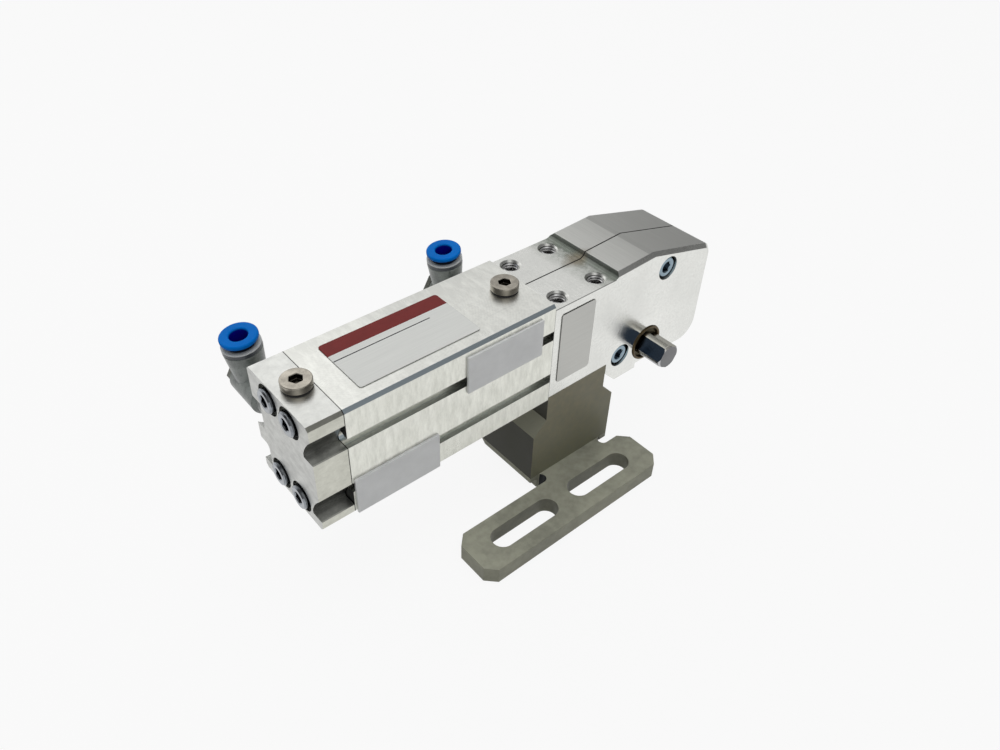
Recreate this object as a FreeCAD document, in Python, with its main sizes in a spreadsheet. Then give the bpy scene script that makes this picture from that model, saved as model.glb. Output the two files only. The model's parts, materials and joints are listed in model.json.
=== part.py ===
"""Pneumatic power clamp standing on a slotted foot, as an assembly of named pieces.

X runs along the clamp from its rear cap to its head, Y from the output square to the air
fittings, Z up. The origin is on the underside of the foot, midway between its two slots.
"""
import FreeCAD
import Part
import Sketcher
import math
import os
import re

# Driving sizes in millimetres, or degrees where the name says angle.
SIZES = {
    # slotted foot
    "foot_length": 90.0,
    "foot_width": 20.8,
    "foot_thick": 7.2,
    "foot_corner": 4.0,
    "foot_gap": 4.2,
    "slot_width": 9.0,
    "slot_length": 31.0,
    "slot_spacing": 39.0,
    "neck_width": 35.0,
    "neck_reach": 28.0,
    "relief_radius": 2.2,
    # bracket block
    "stand_height": 38.0,
    "key_depth": 2.2,
    "block_base": 42.4,
    "flare_start": 9.2,
    "flare_height": 6.2,
    "block_bevel": 8.0,
    "bracket_grip": 16.0,
    # barrel and rear cap
    "rear_overhang": 93.2,
    "body_width": 36.0,
    "body_height": 44.0,
    "cap_length": 12.0,
    "barrel_length": 83.4,
    "edge_bevel": 1.1,
    "bore_radius": 12.5,
    "sensor_low": 11.7,
    "sensor_high": 31.0,
    "sensor_mouth": 3.9,
    "sensor_depth": 3.2,
    "sensor_radius": 2.6,
    "pocket_height": 9.6,
    "pocket_back": 1.5,
    "pocket_depth": 5.2,
    "pocket_sweep": 24.0,
    "pocket_round": 1.8,
    "spigot_length": 4.0,
    # tie screws through cap and barrel into the head
    "tie_span_wide": 12.7,
    "tie_span_high": 31.8,
    "tie_sink": 2.9,
    "tie_sink_radius": 5.5,
    "tie_head_high": 3.5,
    "washer_thick": 0.8,
    "washer_radius": 5.0,
    "thread_engage": 12.0,
    # screws of five and six millimetres
    "small_radius": 2.5,
    "small_head": 4.25,
    "small_head_high": 4.6,
    "small_hex": 4.0,
    "large_radius": 3.0,
    "large_head": 5.0,
    "large_grip": 6.0,
    "hex_depth": 2.6,
    # air ports, plugs and elbow fittings
    "port_radius": 2.5,
    "port_rise": 26.0,
    "port_inset": 8.8,
    "spot_radius": 8.2,
    "cap_spot": 4.8,
    "barrel_spot": 0.7,
    "plug_radius": 5.0,
    "plug_high": 2.55,
    "plug_stub": 4.6,
    "plug_seal": 0.5,
    "plug_socket": 1.9,
    "plug_lead": 1.2,
    "seal_thick": 0.8,
    "bolt_flats": 10.0,
    "bolt_head": 2.0,
    "journal_radius": 3.9,
    "elbow_radius": 6.3,
    "elbow_reach": 5.7,
    "elbow_neck": 5.0,
    "elbow_stand": 0.8,
    "socket_offset": 12.1,
    "socket_high": 15.4,
    "socket_radius": 6.5,
    "socket_foot": 5.0,
    "collar_thick": 1.7,
    "lean_angle": 5.7,
    "ring_radius": 6.3,
    "ring_thick": 1.4,
    "ring_bevel": 0.35,
    "ring_gap": 2.0,
    "sleeve_radius": 4.6,
    "sleeve_length": 5.6,
    "tube_radius": 3.05,
    "socket_deep": 4.8,
    "tube_seal": 0.5,
    # head
    "head_length": 85.0,
    "pad_depth": 2.2,
    "pad_span_long": 18.5,
    "pad_rest": 0.3,
    "pad_inset": 5.6,
    "pad_thread": 12.0,
    "grip_thread": 10.0,
    "pad_mouth": 0.9,
    "step_run": 0.9,
    "step_rest": 0.53,
    "crest_setback": 50.1,
    "crest_rise": 0.9,
    "nose_height": 35.8,
    "nose_round": 4.6,
    "chin_round": 9.5,
    "chin_drop": 8.7,
    "lobe_start": 2.6,
    "head_bevel": 1.5,
    "seam_bevel": 0.25,
    "notch_width": 9.2,
    "notch_depth": 2.4,
    "screw_high_x": 58.8,
    "screw_high_z": 35.0,
    "screw_low_x": 38.0,
    "screw_low_z": 3.1,
    "head_sink": 5.3,
    "head_sink_radius": 4.9,
    "dowel_radius": 2.5,
    "dowel_half": 6.0,
    "dowel_rear_x": 20.0,
    "dowel_rear_z": 8.5,
    "dowel_front_x": 78.0,
    "dowel_front_z": 2.0,
    # output shaft and its bushes
    "shaft_setback": 53.1,
    "shaft_rise": 2.2,
    "shaft_radius": 6.6,
    "square_flats": 9.2,
    "square_corner": 5.5,
    "square_reach": 12.0,
    "square_bevel": 0.7,
    "drive_flats": 9.6,
    "bush_wall": 0.95,
    "bush_proud": 0.5,
    "shaft_recess": 1.0,
    "journal_recess": 0.7,
    # crank lever, crosshead and piston
    "half_swing_angle": 45.0,
    "rest_angle": 29.0,
    "hub_radius": 7.6,
    "lever_half": 6.8,
    "lever_tip": 28.6,
    "lever_thick": 10.0,
    "lever_slot": 4.4,
    "pin_radius": 2.5,
    "clevis_half_wide": 9.0,
    "clevis_half_high": 6.0,
    "clevis_front": 5.0,
    "clevis_slot": 16.4,
    "clevis_back": 25.4,
    "shoe_length": 10.0,
    "shoe_high": 8.0,
    "shoe_thick": 3.0,
    "rod_radius": 5.0,
    "rod_stud": 4.0,
    "rod_thread": 8.0,
    "rod_tail": 3.0,
    "piston_length": 22.0,
    "piston_margin": 6.0,
    "nut_high": 4.0,
    "nut_flats": 8.0,
    "seal_width": 2.4,
    "seal_deep": 1.8,
    "magnet_width": 4.0,
    "gland_length": 5.0,
    "gland_pilot": 9.0,
    "pilot_length": 3.0,
    "rod_seal_radius": 7.2,
    "rod_seal_long": 2.6,
    # labels
    "label_thick": 0.3,
    "plate_thick": 0.9,
    "top_label_x": 21.1,
    "top_label_long": 46.1,
    "top_label_wide": 24.4,
    "top_label_inset": 5.5,
    "label_round": 1.1,
    "tag_long": 32.4,
    "tag_high": 14.8,
    "tag_upper_x": 57.0,
    "tag_upper_z": 26.2,
    "tag_lower_x": 12.6,
    "tag_lower_z": 0.2,
    "side_label_x": 3.2,
    "side_label_z": 8.0,
    "side_label_long": 16.4,
    "side_label_high": 30.4,
    # clearances
    "static_fit": 0.03,
    "running_fit": 0.05,
    "free_gap": 0.4,
    "key_fit": 0.1,
}

# Places and sizes that follow from the driving ones.
PLACES = {
    "near_y": "foot_width / 2 + foot_gap",
    "mid_y": "near_y + body_width / 2",
    "far_y": "near_y + body_width",
    "base_z": "foot_thick + stand_height",
    "axis_z": "base_z + body_height / 2",
    "top_z": "base_z + body_height",
    "cap_x": "0 - rear_overhang",
    "cap_mid_x": "cap_x + cap_length / 2",
    "barrel_x": "cap_x + cap_length",
    "head_x": "barrel_x + barrel_length",
    "front_x": "head_x + head_length",
    "step_slope": "sqrt(step_run ^ 2 + pad_depth ^ 2)",
    "step_lead": "step_slope - step_rest",
    "step_round": "step_lead * pad_depth / (step_slope - step_run)",
    "pad_length": "pad_span_long + (large_radius + pad_mouth + step_lead + pad_rest) * 2",
    "pad_x": "head_x + pad_length",
    "pad_mid_x": "head_x + pad_length / 2",
    "pad_span_wide": "body_width - pad_inset * 2",
    "low_pad_z": "base_z + pad_depth",
    "high_pad_z": "top_z - pad_depth",
    "chin_z": "base_z - chin_drop",
    "block_z": "foot_thick - key_depth",
    "port_x": "head_x - port_inset",
    "port_z": "base_z + port_rise",
    "shaft_x": "head_x + shaft_setback",
    "shaft_z": "base_z + shaft_rise",
    "crank": "axis_z - shaft_z",
    "half_stroke": "crank * tan(half_swing_angle)",
    "lever_angle": "rest_angle - half_swing_angle",
    "pin_x": "shaft_x + half_stroke * lever_angle / half_swing_angle",
    "pin_rear_x": "shaft_x - half_stroke",
    "pin_front_x": "shaft_x + half_stroke",
    "clevis_x": "pin_x - clevis_back",
    "piston_rear_x": "barrel_x + spigot_length + piston_margin + pin_x - pin_rear_x",
    "piston_front_x": "piston_rear_x + piston_length",
    "spigot_radius": "bore_radius - running_fit",
    "bush_radius": "shaft_radius + running_fit + bush_wall",
    "lever_room": "lever_thick / 2 + free_gap",
    "tie_seat_x": "cap_x + tie_sink",
    "socket_y": "far_y + socket_offset",
}

doc = FreeCAD.newDocument("power_clamp")
sheet = doc.addObject("Spreadsheet::Sheet", "Sizes")
for row, (size_name, size_value) in enumerate(SIZES.items(), start=1):
    sheet.set(f"A{row}", size_name)
    sheet.set(f"B{row}", str(size_value))
    sheet.setAlias(f"B{row}", size_name)
doc.recompute()

sub_parts = []
EDGE_SLACK = 1e-3


def formula(text):
    """Spell out a formula in the sheet's own cells."""
    def spell(match):
        word = match.group(0)
        if word in PLACES:
            return "(" + formula(PLACES[word]) + ")"
        if word in SIZES:
            return "Sizes." + word
        return word
    return re.sub(r"[a-z][a-z_]*", spell, str(text))


def value(text):
    """The present number that a formula gives."""
    return float(sheet.evalExpression(formula(text)))


def bind(thing, **formulas):
    """Tie properties of an object to formulas; a double underscore stands for a dot."""
    for name, text in formulas.items():
        thing.setExpression(name.replace("__", "."), formula(text))


def keep(thing, label):
    """Give a finished sub-part the label that names its file."""
    thing.Label = label
    sub_parts.append(thing)
    return thing


def place(thing, x, y, z):
    """Tie an object's place to three formulas."""
    bind(thing, Placement__Base__x=x, Placement__Base__y=y, Placement__Base__z=z)


def turn(thing, axis, angle):
    """Turn an object about an axis by an angle given as a formula."""
    thing.Placement = FreeCAD.Placement(FreeCAD.Vector(), FreeCAD.Rotation(axis, 1.0))
    bind(thing, Placement__Rotation__Angle=angle)


X_AXIS = FreeCAD.Vector(1, 0, 0)
Y_AXIS = FreeCAD.Vector(0, 1, 0)
Z_AXIS = FreeCAD.Vector(0, 0, 1)
# Turns that bring a piece's own X axis, or Z axis, to a direction of the clamp.
FROM_X = {
    "X": FreeCAD.Rotation(),
    "-X": FreeCAD.Rotation(Z_AXIS, 180),
    "Y": FreeCAD.Rotation(Z_AXIS, 90),
    "-Y": FreeCAD.Rotation(Z_AXIS, -90),
    "Z": FreeCAD.Rotation(Y_AXIS, -90),
    "-Z": FreeCAD.Rotation(Y_AXIS, 90),
}
FROM_Z = {
    "X": FreeCAD.Rotation(Y_AXIS, 90),
    "Y": FreeCAD.Rotation(X_AXIS, -90),
    "Z": FreeCAD.Rotation(),
}


# Sketches and features of bodies

def new_body(name):
    return doc.addObject("PartDesign::Body", name)


def sketch_on(body, plane, level):
    """A sketch in the XY, XZ or YZ plane of a body, at a level along the third axis."""
    sketch = body.newObject("Sketcher::SketchObject", "outline")
    origin = next(f for f in body.Origin.OriginFeatures if f.Role == plane + "_Plane")
    sketch.AttachmentSupport = [(origin, "")]
    sketch.MapMode = "FlatFace"
    sign = "-" if plane == "XZ" else ""
    bind(sketch, AttachmentOffset__Base__z=f"{sign}1 * ({level})")
    return sketch


def arc_between(start, end, radius, side):
    """The shorter arc from start to end, turning left for side 1 and right for side -1."""
    along = end - start
    middle = (start + end) * 0.5
    rise = math.sqrt(max(radius ** 2 - along.Length ** 2 / 4, 0.0))
    left = FreeCAD.Vector(-along.y, along.x, 0).normalize()
    centre = middle + left * (rise * side)
    first, last = (start, end) if side > 0 else (end, start)
    angles = [math.atan2(p.y - centre.y, p.x - centre.x) for p in (first, last)]
    return Part.ArcOfCircle(Part.Circle(centre, Z_AXIS, radius), *angles)


def outline(sketch, corners):
    """A closed outline; a corner is (x, y), or (x, y, radius, side) where an arc leaves it."""
    points = [FreeCAD.Vector(value(c[0]), value(c[1]), 0) for c in corners]
    ends = []
    rules = []
    ties = []
    first = sketch.ConstraintCount
    for index, corner in enumerate(corners):
        start, end = points[index], points[(index + 1) % len(points)]
        if len(corner) == 2:
            edge = sketch.addGeometry(Part.LineSegment(start, end), False)
            ends.append((edge, 1, 2))
        else:
            radius, side = corner[2:]
            edge = sketch.addGeometry(arc_between(start, end, value(radius), side), False)
            ends.append((edge, 1, 2) if side > 0 else (edge, 2, 1))
            ties.append((len(rules), radius))
            rules.append(Sketcher.Constraint("Radius", edge, value(radius)))
    for index, (edge, start_end, last_end) in enumerate(ends):
        next_edge, next_start, _ = ends[(index + 1) % len(ends)]
        rules.append(Sketcher.Constraint("Coincident", edge, last_end, next_edge, next_start))
        for kind, text in zip(("DistanceX", "DistanceY"), corners[index][:2]):
            ties.append((len(rules), text))
            rules.append(Sketcher.Constraint(kind, -1, 1, edge, start_end, value(text)))
    sketch.addConstraint(rules)
    for index, text in ties:
        sketch.setExpression(f"Constraints[{first + index}]", formula(text))


def rectangle(sketch, x_low, y_low, x_high, y_high):
    outline(sketch, [(x_low, y_low), (x_high, y_low), (x_high, y_high), (x_low, y_high)])


def bevelled(sketch, x_low, y_low, x_high, y_high, bevel):
    """A rectangle with its four corners cut at 45 degrees."""
    outline(sketch, [
        (f"{x_low} + {bevel}", y_low), (f"{x_high} - {bevel}", y_low),
        (x_high, f"{y_low} + {bevel}"), (x_high, f"{y_high} - {bevel}"),
        (f"{x_high} - {bevel}", y_high), (f"{x_low} + {bevel}", y_high),
        (x_low, f"{y_high} - {bevel}"), (x_low, f"{y_low} + {bevel}"),
    ])


def rounded(sketch, x_low, y_low, x_high, y_high, radius):
    """A rectangle with rounded corners."""
    outline(sketch, [
        (f"{x_low} + {radius}", y_low), (f"{x_high} - {radius}", y_low, radius, 1),
        (x_high, f"{y_low} + {radius}"), (x_high, f"{y_high} - {radius}", radius, 1),
        (f"{x_high} - {radius}", y_high), (f"{x_low} + {radius}", y_high, radius, 1),
        (x_low, f"{y_high} - {radius}"), (x_low, f"{y_low} + {radius}", radius, 1),
    ])


def circle(sketch, x, y, radius):
    centre = FreeCAD.Vector(value(x), value(y), 0)
    edge = sketch.addGeometry(Part.Circle(centre, Z_AXIS, value(radius)), False)
    first = sketch.ConstraintCount
    sketch.addConstraint([
        Sketcher.Constraint("Radius", edge, value(radius)),
        Sketcher.Constraint("DistanceX", -1, 1, edge, 3, value(x)),
        Sketcher.Constraint("DistanceY", -1, 1, edge, 3, value(y)),
    ])
    for index, text in enumerate((radius, x, y)):
        sketch.setExpression(f"Constraints[{first + index}]", formula(text))


def drawn_forward(sketch):
    """Whether a sketch faces the positive way along its axis."""
    return sketch.AttachmentSupport[0][0].Role != "XZ_Plane"


def pad(body, sketch, length, way=1):
    """Solid grown from a sketch, the positive way or, for way -1, the negative way."""
    feature = body.newObject("PartDesign::Pad", "pad")
    feature.Profile = sketch
    feature.Reversed = drawn_forward(sketch) != (way > 0)
    bind(feature, Length=length)
    return feature


def pocket(body, sketch, length, way=1):
    """Solid cut away from a sketch, the positive way or, for way -1, the negative way."""
    before = body.Tip
    doc.recompute()
    feature = body.newObject("PartDesign::Pocket", "pocket")
    feature.Profile = sketch
    feature.Reversed = drawn_forward(sketch) == (way > 0)
    bind(feature, Length=length)
    doc.recompute()
    if feature.Shape.Volume >= before.Shape.Volume:
        raise RuntimeError(f"a pocket of {body.Name} cuts nothing")
    return feature


def edge_names(feature, wanted):
    """Names of the edges of a feature whose two end points pass a test."""
    doc.recompute()
    names = []
    for index, edge in enumerate(feature.Shape.Edges, start=1):
        if all(wanted(vertex.Point) for vertex in edge.Vertexes):
            names.append(f"Edge{index}")
    if not names:
        raise RuntimeError(f"no edge of {feature.Name} fits")
    return names


def dressed(body, kind, wanted, **formulas):
    """A fillet or chamfer on the edges of a body's tip that pass a test."""
    base = body.Tip
    names = edge_names(base, wanted)
    feature = body.newObject("PartDesign::" + kind, kind.lower())
    feature.Base = (base, names)
    bind(feature, **formulas)
    doc.recompute()
    return feature


def near(number, text):
    """Whether a coordinate is where a formula says."""
    return abs(number - value(text)) < 1e-4


def turned(name, corners, at=("0", "0", "0"), axis="X"):
    """A body turned about its own X axis from corners (along, radius), then put in place."""
    body = new_body(name)
    sketch = sketch_on(body, "XY", "0")
    outline(sketch, corners)
    feature = body.newObject("PartDesign::Revolution", "turned")
    feature.Profile = sketch
    feature.ReferenceAxis = (sketch, ["H_Axis"])
    feature.Angle = 360
    body.Placement = FreeCAD.Placement(FreeCAD.Vector(), FROM_X[axis])
    place(body, *at)
    return body


def ring(name, start, end, inner, outer, at, axis):
    """A plain ring between two stations along its axis."""
    return turned(name, [(start, inner), (end, inner), (end, outer), (start, outer)], at, axis)


# Solids put together from simple ones

def box(name, x, y, z, length, width, height):
    thing = doc.addObject("Part::Box", name)
    bind(thing, Length=length, Width=width, Height=height)
    place(thing, x, y, z)
    return thing


def cylinder(name, x, y, z, radius, height, axis="Z"):
    thing = doc.addObject("Part::Cylinder", name)
    thing.Placement = FreeCAD.Placement(FreeCAD.Vector(), FROM_Z[axis])
    bind(thing, Radius=radius, Height=height)
    place(thing, x, y, z)
    return thing


def hexagon(name, x, y, z, flats, height, axis="Z"):
    """A six-sided prism given by its width across flats."""
    thing = doc.addObject("Part::Prism", name)
    thing.Polygon = 6
    thing.Placement = FreeCAD.Placement(FreeCAD.Vector(), FROM_Z[axis])
    bind(thing, Circumradius=f"{flats} / sqrt(3)", Height=height)
    place(thing, x, y, z)
    return thing


def joined(name, *things):
    thing = doc.addObject("Part::MultiFuse", name)
    thing.Shapes = list(things)
    return thing


def shared(name, *things):
    thing = doc.addObject("Part::MultiCommon", name)
    thing.Shapes = list(things)
    return thing


def cut(name, base, *tools):
    thing = doc.addObject("Part::Cut", name)
    thing.Base = base
    thing.Tool = tools[0] if len(tools) == 1 else joined(name + "_tools", *tools)
    return thing


def group(label, things):
    """Like pieces kept together as one node."""
    thing = doc.addObject("Part::Compound", label)
    thing.Links = list(things)
    return keep(thing, label)


def socket_screw(name, head, head_high, shank, length, flats, at, axis):
    """A cap screw whose head starts at zero and whose shank runs along its axis."""
    blank = turned(name + "_blank", [
        (f"0 - {head_high}", "0"), (length, "0"), (length, shank), ("0", shank),
        ("0", head), (f"0 - {head_high}", head),
    ])
    socket = hexagon(name + "_socket", f"0 - {head_high}", "0", "0", flats, "hex_depth", "X")
    screw = cut(name, blank, socket)
    screw.Placement = FreeCAD.Placement(FreeCAD.Vector(), FROM_X[axis])
    place(screw, *at)
    return screw


# Stations that several pieces share

TIE_SPOTS = [
    (f"mid_y {wide} tie_span_wide / 2", f"axis_z {high} tie_span_high / 2")
    for wide in "-+" for high in "-+"
]
PAD_SPOTS = [
    (f"pad_mid_x {long} pad_span_long / 2", f"mid_y {wide} pad_span_wide / 2")
    for long in "-+" for wide in "-+"
]
FOOT_SPOTS = [("pad_mid_x", "near_y + neck_reach / 4"), ("pad_mid_x", "near_y + neck_reach * 3 / 4")]
HEAD_SCREWS = [
    ("head_x + screw_high_x", "base_z + screw_high_z"),
    ("head_x + screw_low_x", "base_z + screw_low_z"),
]
DOWELS = [
    ("head_x + dowel_rear_x", "base_z + dowel_rear_z"),
    ("head_x + dowel_front_x", "base_z + dowel_front_z"),
]
AIR_PORTS = {"rear": ("cap_mid_x", "cap_spot"), "front": ("port_x", "barrel_spot")}


# Foot and bracket

def slotted_foot():
    """Flat foot with two adjusting slots and a neck that keys under the block."""
    body = new_body("slotted_foot")
    half, wide, corner = "foot_length / 2", "foot_width / 2", "foot_corner"
    neck_low, neck_high = "pad_mid_x - neck_width / 2", "pad_mid_x + neck_width / 2"
    sketch = sketch_on(body, "XY", "0")
    outline(sketch, [
        (f"{corner} - {half}", f"0 - {wide}"), (f"{half} - {corner}", f"0 - {wide}"),
        (half, f"{corner} - {wide}"), (half, f"{wide} - {corner}"),
        (f"{half} - {corner}", wide), (neck_high, wide),
        (neck_high, "near_y + neck_reach"), (neck_low, "near_y + neck_reach"),
        (neck_low, wide), (f"{corner} - {half}", wide),
        (f"0 - {half}", f"{wide} - {corner}"), (f"0 - {half}", f"{corner} - {wide}"),
    ])
    pad(body, sketch, "foot_thick")
    reliefs = sketch_on(body, "XY", "0")
    circle(reliefs, neck_low, f"{wide} + relief_radius", "relief_radius")
    circle(reliefs, neck_high, f"{wide} + relief_radius", "relief_radius")
    pocket(body, reliefs, "foot_thick")
    slots = sketch_on(body, "XY", "0")
    for side in "-+":
        middle, reach, round_end = f"0 {side} slot_spacing / 2", "slot_length / 2", "slot_width / 2"
        outline(slots, [
            (f"{middle} - {reach} + {round_end}", f"0 - {round_end}"),
            (f"{middle} + {reach} - {round_end}", f"0 - {round_end}", round_end, 1),
            (f"{middle} + {reach}", "0", round_end, 1),
            (f"{middle} + {reach} - {round_end}", round_end),
            (f"{middle} - {reach} + {round_end}", round_end, round_end, 1),
            (f"{middle} - {reach}", "0", round_end, 1),
        ])
    pocket(body, slots, "foot_thick")
    holes = sketch_on(body, "XY", "0")
    for x, y in FOOT_SPOTS:
        circle(holes, x, y, "large_radius + key_fit")
    pocket(body, holes, "foot_thick")

    def on_neck_floor(point):
        return near(point.z, "0") and value("near_y") < point.y < value("near_y + neck_reach")

    dressed(body, "Chamfer", on_neck_floor, Size="large_head - large_radius")
    keep(body, "slotted_foot")


def foot_screws():
    """Countersunk screws from under the foot into the block."""
    head = "large_head - key_fit"
    shank = "large_radius - running_fit"
    screws = []
    for x, y in FOOT_SPOTS:
        screws.append(turned("foot_screw", [
            ("key_fit", "0"), ("foot_thick + large_grip", "0"), ("foot_thick + large_grip", shank),
            ("large_head - large_radius + key_fit", shank), ("key_fit", head),
        ], (x, y, "0"), "Z"))
    group("foot_screws", screws)


def bracket_block():
    """Flared block between the head's lower pad and the foot."""
    body = new_body("bracket_block")
    top, base = "(pad_length / 2 - key_fit)", "block_base / 2"
    flare_top = "base_z - flare_start"
    flare_low = "base_z - flare_start - flare_height"
    sketch = sketch_on(body, "XZ", "near_y")
    outline(sketch, [
        (f"pad_mid_x - {base}", "block_z"), (f"pad_mid_x + {base}", "block_z"),
        (f"pad_mid_x + {base}", flare_low), (f"pad_mid_x + {top}", flare_top),
        (f"pad_mid_x + {top}", "low_pad_z"), (f"pad_mid_x - {top}", "low_pad_z"),
        (f"pad_mid_x - {top}", flare_top), (f"pad_mid_x - {base}", flare_low),
    ])
    pad(body, sketch, "body_width")
    key = sketch_on(body, "XZ", "near_y")
    key_half = "(neck_width / 2 + key_fit)"
    rectangle(key, f"pad_mid_x - {key_half}", "block_z", f"pad_mid_x + {key_half}", "foot_thick")
    pocket(body, key, "body_width")
    bevel = sketch_on(body, "YZ", f"pad_mid_x - {base}")
    outline(bevel, [("far_y - block_bevel", "block_z"), ("far_y", "block_z"),
                    ("far_y", "block_z + block_bevel")])
    pocket(body, bevel, "block_base")
    holes = sketch_on(body, "XY", "block_z")
    sinks = sketch_on(body, "XY", "block_z")
    for x, y in PAD_SPOTS:
        circle(holes, x, y, "small_radius + free_gap / 2")
        circle(sinks, x, y, "small_head + free_gap")
    pocket(body, holes, "low_pad_z - block_z")
    pocket(body, sinks, "low_pad_z - block_z - bracket_grip")
    threads = sketch_on(body, "XY", "foot_thick")
    for x, y in FOOT_SPOTS:
        circle(threads, x, y, "large_radius")
    pocket(body, threads, "large_grip + free_gap")
    keep(body, "bracket_block")


def bracket_screws():
    """Cap screws up through the block into the head's lower pad."""
    group("bracket_screws", [
        socket_screw(f"bracket_screw_{index}", "small_head", "small_head_high",
                     "small_radius - running_fit", "bracket_grip + grip_thread - free_gap * 3",
                     "small_hex", (x, y, "low_pad_z - bracket_grip"), "Z")
        for index, (x, y) in enumerate(PAD_SPOTS)
    ])


# Rear cap and barrel

def side_pockets(body, level, length):
    """Open pockets at the switch slots' ends, two swept ones near and a square one far."""
    sketch = sketch_on(body, "YZ", level)
    low_ledge = "base_z + sensor_low + sensor_mouth / 2 - pocket_height"
    high_ledge = "base_z + sensor_high - sensor_mouth / 2"
    for ledge in (low_ledge, high_ledge):
        outline(sketch, [
            ("near_y", ledge), ("near_y + pocket_depth", ledge),
            ("near_y + pocket_depth", f"{ledge} + pocket_back", "pocket_sweep", 1),
            ("near_y", f"{ledge} + pocket_height"),
        ])
    outline(sketch, [
        ("far_y", low_ledge), ("far_y", f"{low_ledge} + pocket_height"),
        ("far_y - pocket_depth + pocket_round", f"{low_ledge} + pocket_height", "pocket_round", 1),
        ("far_y - pocket_depth", f"{low_ledge} + pocket_height - pocket_round"),
        ("far_y - pocket_depth", low_ledge),
    ])
    pocket(body, sketch, length)


def air_ports(body, x, sink):
    """A port from the top and one from a spot face on the far side, both to the bore axis."""
    top = sketch_on(body, "XY", "top_z")
    circle(top, f"{x} + plug_lead", "mid_y", "port_radius")
    pocket(body, top, "body_height / 2", -1)
    spot = sketch_on(body, "XZ", "far_y")
    circle(spot, x, "port_z", "spot_radius")
    pocket(body, spot, sink, -1)
    side = sketch_on(body, "XZ", "far_y")
    circle(side, x, "port_z", "port_radius")
    pocket(body, side, "body_width / 2", -1)


def tie_holes(body, level, length, radius):
    sketch = sketch_on(body, "YZ", level)
    for y, z in TIE_SPOTS:
        circle(sketch, y, z, radius)
    pocket(body, sketch, length)


def end_cap():
    """Rear cap with screw sinks, sensor pockets, air ports and a spigot for the bore."""
    body = new_body("end_cap")
    sketch = sketch_on(body, "YZ", "cap_x")
    bevelled(sketch, "near_y", "base_z", "far_y", "top_z", "edge_bevel")
    pad(body, sketch, "cap_length")
    spigot = sketch_on(body, "YZ", "barrel_x")
    circle(spigot, "mid_y", "axis_z", "spigot_radius")
    pad(body, spigot, "spigot_length")
    side_pockets(body, "cap_x", "cap_length")
    tie_holes(body, "cap_x", "tie_sink", "tie_sink_radius")
    tie_holes(body, "cap_x", "cap_length", "small_radius + free_gap / 2")
    air_ports(body, *AIR_PORTS["rear"])
    feed = sketch_on(body, "YZ", "cap_mid_x")
    circle(feed, "mid_y", "axis_z", "port_radius")
    pocket(body, feed, "cap_length / 2 + spigot_length")
    groove = sketch_on(body, "YZ", "barrel_x + spigot_length / 4")
    circle(groove, "mid_y", "axis_z", "spigot_radius")
    circle(groove, "mid_y", "axis_z", "spigot_radius - seal_deep")
    pocket(body, groove, "seal_width")
    keep(body, "end_cap")


def cap_seal():
    """Sealing ring in the groove of the cap's spigot."""
    keep(ring("cap_seal", "spigot_length / 4 + static_fit", "spigot_length / 4 + seal_width - static_fit",
              "spigot_radius - seal_deep + static_fit", "bore_radius - static_fit",
              ("barrel_x", "mid_y", "axis_z"), "X"), "cap_seal")


def sensor_slot(sketch, wall, inward, height):
    """A mouth and a round-bottomed groove for a switch, seen along the barrel."""
    half = "sensor_mouth / 2"
    neck = "sqrt(sensor_radius ^ 2 - sensor_mouth ^ 2 / 4)"
    inner = f"{wall} {inward} (sensor_depth - {neck})"
    side = 1 if inward == "+" else -1
    outline(sketch, [
        (wall, f"{height} - {half}"),
        (inner, f"{height} - {half}", "sensor_radius", side),
        (f"{wall} {inward} sensor_depth", f"{height} - sensor_radius", "sensor_radius", side),
        (f"{wall} {inward} (sensor_depth + sensor_radius)", height, "sensor_radius", side),
        (f"{wall} {inward} sensor_depth", f"{height} + sensor_radius", "sensor_radius", side),
        (inner, f"{height} + {half}"),
        (wall, f"{height} + {half}"),
    ])


def cylinder_barrel():
    """Bored barrel with switch slots, tie-screw holes and the front air ports."""
    body = new_body("cylinder_barrel")
    sketch = sketch_on(body, "YZ", "barrel_x")
    bevelled(sketch, "near_y", "base_z", "far_y", "top_z", "edge_bevel")
    pad(body, sketch, "barrel_length")
    bore = sketch_on(body, "YZ", "barrel_x")
    circle(bore, "mid_y", "axis_z", "bore_radius")
    pocket(body, bore, "barrel_length")
    tie_holes(body, "barrel_x", "barrel_length", "small_radius + free_gap / 2")
    slots = sketch_on(body, "YZ", "barrel_x")
    sensor_slot(slots, "near_y", "+", "base_z + sensor_low")
    sensor_slot(slots, "near_y", "+", "base_z + sensor_high")
    sensor_slot(slots, "far_y", "-", "base_z + sensor_low")
    pocket(body, slots, "barrel_length")
    air_ports(body, *AIR_PORTS["front"])
    keep(body, "cylinder_barrel")


def tie_screws():
    """Long cap screws, with washers, that hold cap and barrel to the head."""
    seat = "tie_seat_x - washer_thick"
    length = "head_x + thread_engage - tie_seat_x + washer_thick"
    group("tie_screws", [
        socket_screw(f"tie_screw_{index}", "small_head", "tie_head_high",
                     "small_radius - running_fit", length, "small_hex", (seat, y, z), "X")
        for index, (y, z) in enumerate(TIE_SPOTS)
    ])
    group("tie_washers", [
        ring(f"tie_washer_{index}", "0", "washer_thick", "small_radius", "washer_radius",
             (seat, y, z), "X")
        for index, (y, z) in enumerate(TIE_SPOTS)
    ])


# Head

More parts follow.
